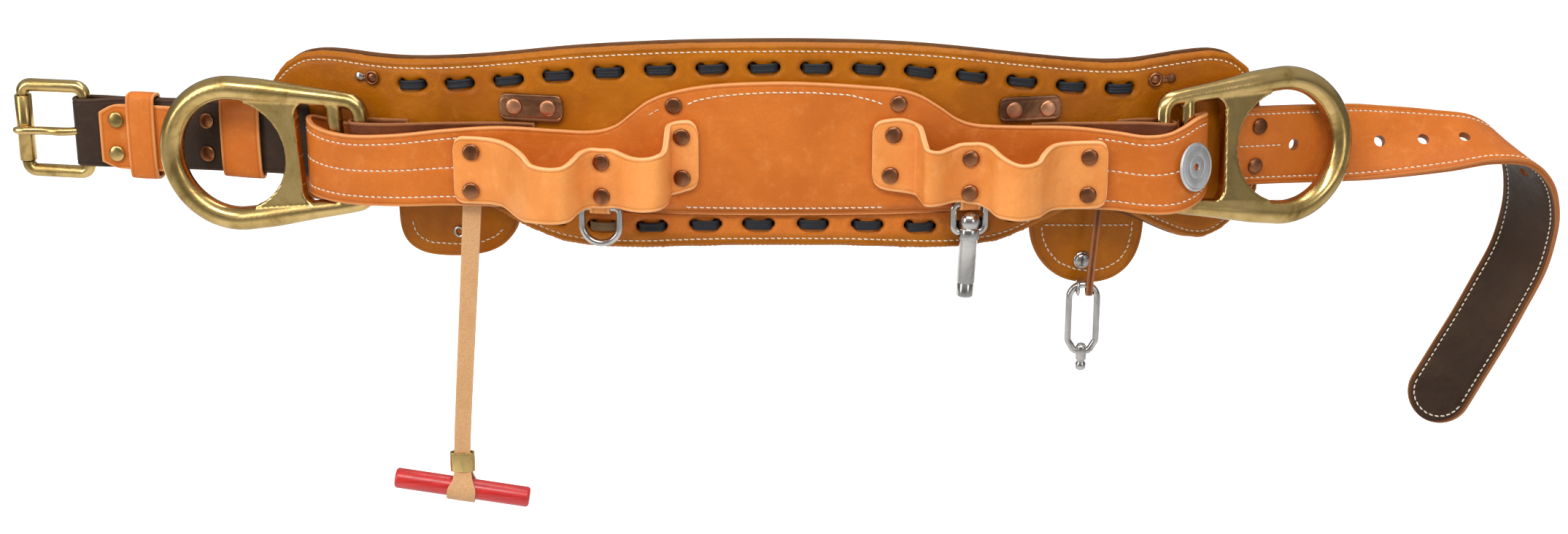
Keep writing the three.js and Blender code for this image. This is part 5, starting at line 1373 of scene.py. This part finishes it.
def tongue_strap():
    stations = even_stations(TONGUE, tongue_edges, 1.7)
    for station in stations:
        middle = (station["low"] + station["high"]) / 2
        across = station["high"] - station["low"]
        half = across.length / 2
        across = (across - station["along"] * across.dot(station["along"])).normalized()
        station["low"], station["high"] = middle - across * half, middle + across * half
    last = stations[-1]
    middle = (last["low"] + last["high"]) / 2
    across = (last["high"] - last["low"]).normalized()
    half = (last["high"] - last["low"]).length / 2
    last_u = last["u"]
    for degrees in TIP_DEGREES:
        a = math.radians(degrees)
        centre = middle + last["along"] * half * math.sin(a)
        reach_across = across * half * math.cos(a)
        stations.append({"u": last_u + degrees / 90, "run": last["run"] + half * math.sin(a),
                         "low": centre - reach_across, "high": centre + reach_across})
    tip = {"middle": middle, "across": across, "along": last["along"], "half": half}
    seams = seams_for([(0.2, last_u)], TONGUE_INSET, [(0, 2.1)], "both")
    return Strap(with_normals(stations), TONGUE_THICK, seams, ply=0.5), tip


def tip_line(tip, side):
    """The stitches round the tip."""
    normal = tip["along"].cross(tip["across"]).normalized() * (1 if side == "front" else -1)
    radius = tip["half"] - TONGUE_INSET
    line = []
    for a in np.linspace(0, math.pi, 40):
        place = tip["middle"] + tip["across"] * radius * math.cos(a) + tip["along"] * radius * math.sin(a)
        line.append((place + normal * (TONGUE_THICK / 2), normal))
    return line


tongue, tongue_tip = tongue_strap()
tongue_piece = tongue.build("tongue_strap_leather", TONGUE_SKIN)


def tongue_at(row, part):
    u = row + part
    station = min(tongue.stations, key=lambda candidate: abs(candidate["u"] - u))
    return (station["low"] + station["high"]) / 2, station


holes = []
for row, part in TONGUE_HOLES:
    middle, station = tongue_at(row, part)
    holes.append((middle - station["normal"] * 8, middle + station["normal"] * 8, HOLE_RADIUS))
drilled(tongue_piece, holes)
settle(tongue_piece, ["tongue_strap"], "saddle_leather", sharp=50)
sewn(tongue, "tongue_stitches")
stitch_piece("tongue_tip_stitches", [tip_line(tongue_tip, side) for side in ("front", "back")])
for label, offset in (("top", 12.6), ("bottom", -12.2)):
    middle, station = tongue_at(1, 0.3)
    across = (station["high"] - station["low"]).normalized()
    away = station["normal"]
    at = middle + across * offset + away * (TONGUE_THICK / 2 + GAP + 0.1)
    rivet(f"rivet_tongue_{label}", at, away)


# Small rings, snap, link and the little ring on it

SMALL_RINGS = {
    "left": {"s": -106.5, "out": 17.8, "bar_z": -18.4, "half": 11.4, "bottom_z": -40.4, "round": 11.4},
    "right": {"s": 107.4, "out": 19, "bar_z": -15.8, "half": 9.6, "bottom_z": -33.1, "round": 4.6},
}
SMALL_WIRE = 2.1


def upright(part):
    """A part drawn in XY, stood up in XZ."""
    verts, faces = part
    return [Vector((v.x, -v.z, v.y)) for v in verts], faces


def placed_on_belt(part, s, out, z):
    turn = s / BELT_RADIUS
    x_axis = Vector((math.cos(turn), math.sin(turn), 0))
    y_axis = Vector((-math.sin(turn), math.cos(turn), 0))
    return placed(part, x_axis, y_axis, Z_AXIS, on_belt(s, out, z))


def small_ring(label):
    ring = SMALL_RINGS[label]
    half, drop, round_ = ring["half"], ring["bar_z"] - ring["bottom_z"], ring["round"]
    outline = arc(half - 3, -3, 3, 90, 0, 6, SMALL_WIRE)
    outline += arc(half - round_, -drop + round_, round_, 0, -90, 14, SMALL_WIRE)
    left = arc(-half + round_, -drop + round_, round_, -90, -180, 14, SMALL_WIRE)
    outline += left[1:] if round_ == half else left
    outline += arc(-half + 3, -3, 3, 180, 90, 6, SMALL_WIRE)
    part = placed_on_belt(upright(wire(outline, True, 16)), ring["s"], ring["out"], ring["bar_z"])
    obj = new_object(f"small_ring_{label}_wire", *part, STEEL)
    settle(obj, [f"small_ring_{label}"], "steel", f"ring_{label}", sharp=70)


small_ring("left")
small_ring("right")

SNAP = [
    (0.3, -40.3), (3.8, -40.3), (4.4, -40), (5, -39.3), (5, -32.2), (4.8, -31.9), (4.8, -31.4), (5.45, -31),
    (5.45, -4.6), (5.6, -4.2), (6.2, -3.8), (6.3, -3.3), (6.3, 2.1), (6.1, 2.5), (5.2, 3.0), (5.2, 3.6),
    (5.9, 4.8), (6.15, 6.2), (6.1, 7.8), (5.7, 9.4), (4.8, 10.9), (3.5, 12.0), (1.8, 12.8), (0.2, 13.05),
]
SNAP_LEAN = 0.044
snap_place = SMALL_RINGS["right"]
snap_verts, snap_faces = turned(SNAP, 40)
snap_verts = [Matrix.Rotation(SNAP_LEAN, 3, "Y") @ v for v in snap_verts]
snap = new_object("snap_body_turned", *placed_on_belt(
    (snap_verts, snap_faces), snap_place["s"], snap_place["out"], snap_place["bottom_z"]), STEEL)
snap_turn = snap_place["s"] / BELT_RADIUS
snap_axis = Vector((math.cos(snap_turn), math.sin(snap_turn), 0))
snap_middle = on_belt(snap_place["s"], snap_place["out"], snap_place["bottom_z"])
drilled(snap, [(snap_middle - snap_axis * 10, snap_middle + snap_axis * 10, 2.9)])
settle(snap, ["snap_body"], "steel", "ring_right", sharp=35)

LINK = {"half": 8.5, "wire": 2.1, "x": 182, "top": -74.1, "depth": 42.8}
link_centre = Vector((LINK["x"], on_belt(189, 11.6).y + 0.4, LINK["top"]))
half, depth = LINK["half"], LINK["depth"]
foot = [(-half, -depth + 8.5), (-8.2, -depth + 6.6), (-5.2, -depth + 1.4), (-4, -depth + 0.5), (-2, -depth),
        (2, -depth), (4, -depth + 0.5), (5.2, -depth + 1.4), (8.2, -depth + 6.6), (half, -depth + 8.5)]
link_outline = arc(0, -half, half, 0, 180, 24, LINK["wire"]) + [(x, z, LINK["wire"]) for x, z in foot]
link_wire = upright(wire(link_outline, True, 16))
PIN = [(0.2, -12.2), (2.0, -12), (2.8, -11.4), (3.3, -10), (3.3, -8), (2.7, -7), (2.5, -6.2), (2.8, -5.4),
       (3.3, -5), (3.3, 2.5), (2.9, 3.6), (2.2, 4.5), (1.2, 5), (0.2, 5)]
pin_verts, pin_faces = turned(PIN, 24)
pin = ([v + Vector((0, 0, -depth)) for v in pin_verts], pin_faces)
verts, faces = merged(link_wire, pin)
link = new_object("link_wire", [v + link_centre for v in verts], faces, STEEL)
settle(link, ["link"], "steel", sharp=60)
little = torus(4.6, 0.9)
tilt = Matrix.Rotation(0.3, 3, "X") @ Matrix.Rotation(math.pi / 2, 3, "Y")
little_place = link_centre + Vector((-3.4, 0, -1.75))
little_ring = new_object("link_ring_wire", [tilt @ v + little_place for v in little[0]], little[1], STEEL)
settle(little_ring, ["link_ring"], "steel", sharp=70)


# Ferrule and handle

T_STRAP = {"top_z": -8, "foot_z": -182, "s": -182.5, "out": 19.3, "drift": -13.4}
HANDLE = {"radius": 6.35, "length": 84, "tilt": 0.16, "z": -204}
t_top = on_belt(T_STRAP["s"], T_STRAP["out"], T_STRAP["top_z"])
t_foot = Vector((t_top.x + T_STRAP["drift"], t_top.y, T_STRAP["foot_z"]))
handle_centre = Vector((t_foot.x - 0.6, t_top.y + 1.2, HANDLE["z"]))
handle_axis = Vector((math.cos(HANDLE["tilt"]), 0, -math.sin(HANDLE["tilt"])))
half, r = HANDLE["length"] / 2, HANDLE["radius"]
end = [(0.3, 0), (r - 2.2, 0), (r - 1.1, 0.25), (r - 0.35, 0.9), (r, 1.9)]
handle_profile = [(a, -half + h) for a, h in end] + [(a, half - h) for a, h in reversed(end)]
handle = new_object("t_handle_dowel", *seated(turned(handle_profile, 36), handle_centre, handle_axis), RED)
settle(handle, ["t_handle"], "red_wood", sharp=50)
softened("t_ferrule", "t_ferrule_band", BRASS, "ring_brass", 0.35)


# Light, floor and background

def area_light(name, place, target, size, power):
    data = bpy.data.lights.new(name, "AREA")
    data.shape = "RECTANGLE"
    data.size, data.size_y = size
    data.energy = power
    obj = bpy.data.objects.new(name, data)
    obj.location = place
    obj.rotation_euler = (Vector(target) - Vector(place)).to_track_quat("-Z", "Y").to_euler()
    bpy.context.scene.collection.objects.link(obj)


area_light("key", (-0.35, -1.6, 1.8), (0, 0, -0.03), (2.8, 0.6), 47)
area_light("fill", (1.6, -1.9, 0.4), (0, 0, -0.03), (0.7, 1.0), 6)
area_light("left", (-1.9, -1.1, 0.5), (-0.2, 0, 0), (0.5, 1.3), 13)
area_light("top", (0.2, 0.2, 1.6), (0, 0, 0), (1.6, 0.5), 14)

FLOOR_Z = -1.0
floor_surface = Surface("pale_floor")
floor_tone = floor_surface.mix(floor_surface.noise(0.6, 2, 0.5), (0.93, 0.93, 0.93), (0.96, 0.96, 0.96))
floor_material = floor_surface.done(floor_tone, floor_surface.ramp(floor_surface.noise(3), 0, 1, 0.8, 0.9))
floor_surface.shader.inputs["Emission Color"].default_value = (1, 1, 1, 1)
far_back = node_of(floor_surface.tree, "ShaderNodeSeparateXYZ", {"Vector": floor_surface.coordinate})
floor_glow = floor_surface.ramp(far_back.outputs["Y"], 0.8, 1.7, 0.0, 0.85)
floor_surface.tree.links.new(floor_glow, floor_surface.shader.inputs["Emission Strength"])
floor = new_object("floor", [(-9, -9, FLOOR_Z), (9, -9, FLOOR_Z), (9, 9, FLOOR_Z), (-9, 9, FLOOR_Z)],
                   [(0, 1, 2, 3)], floor_material, metres=True)

world = bpy.data.worlds.new("studio")
world.use_nodes = True
background = world.node_tree.nodes["Background"]
background.inputs["Color"].default_value = (0.96, 0.98, 1.0, 1)
sky = node_of(world.node_tree, "ShaderNodeTexCoord").outputs["Generated"]
height = node_of(world.node_tree, "ShaderNodeSeparateXYZ", {"Vector": sky}).outputs["Z"]
glow = node_of(world.node_tree, "ShaderNodeMapRange", {
    "Value": height, "From Min": -0.3, "From Max": 0.6, "To Min": 0.05, "To Max": 0.5,
}, interpolation_type="SMOOTHSTEP").outputs["Result"]
world.node_tree.links.new(glow, background.inputs["Strength"])
bpy.context.scene.world = world
bpy.context.scene.view_settings.view_transform = "Standard"
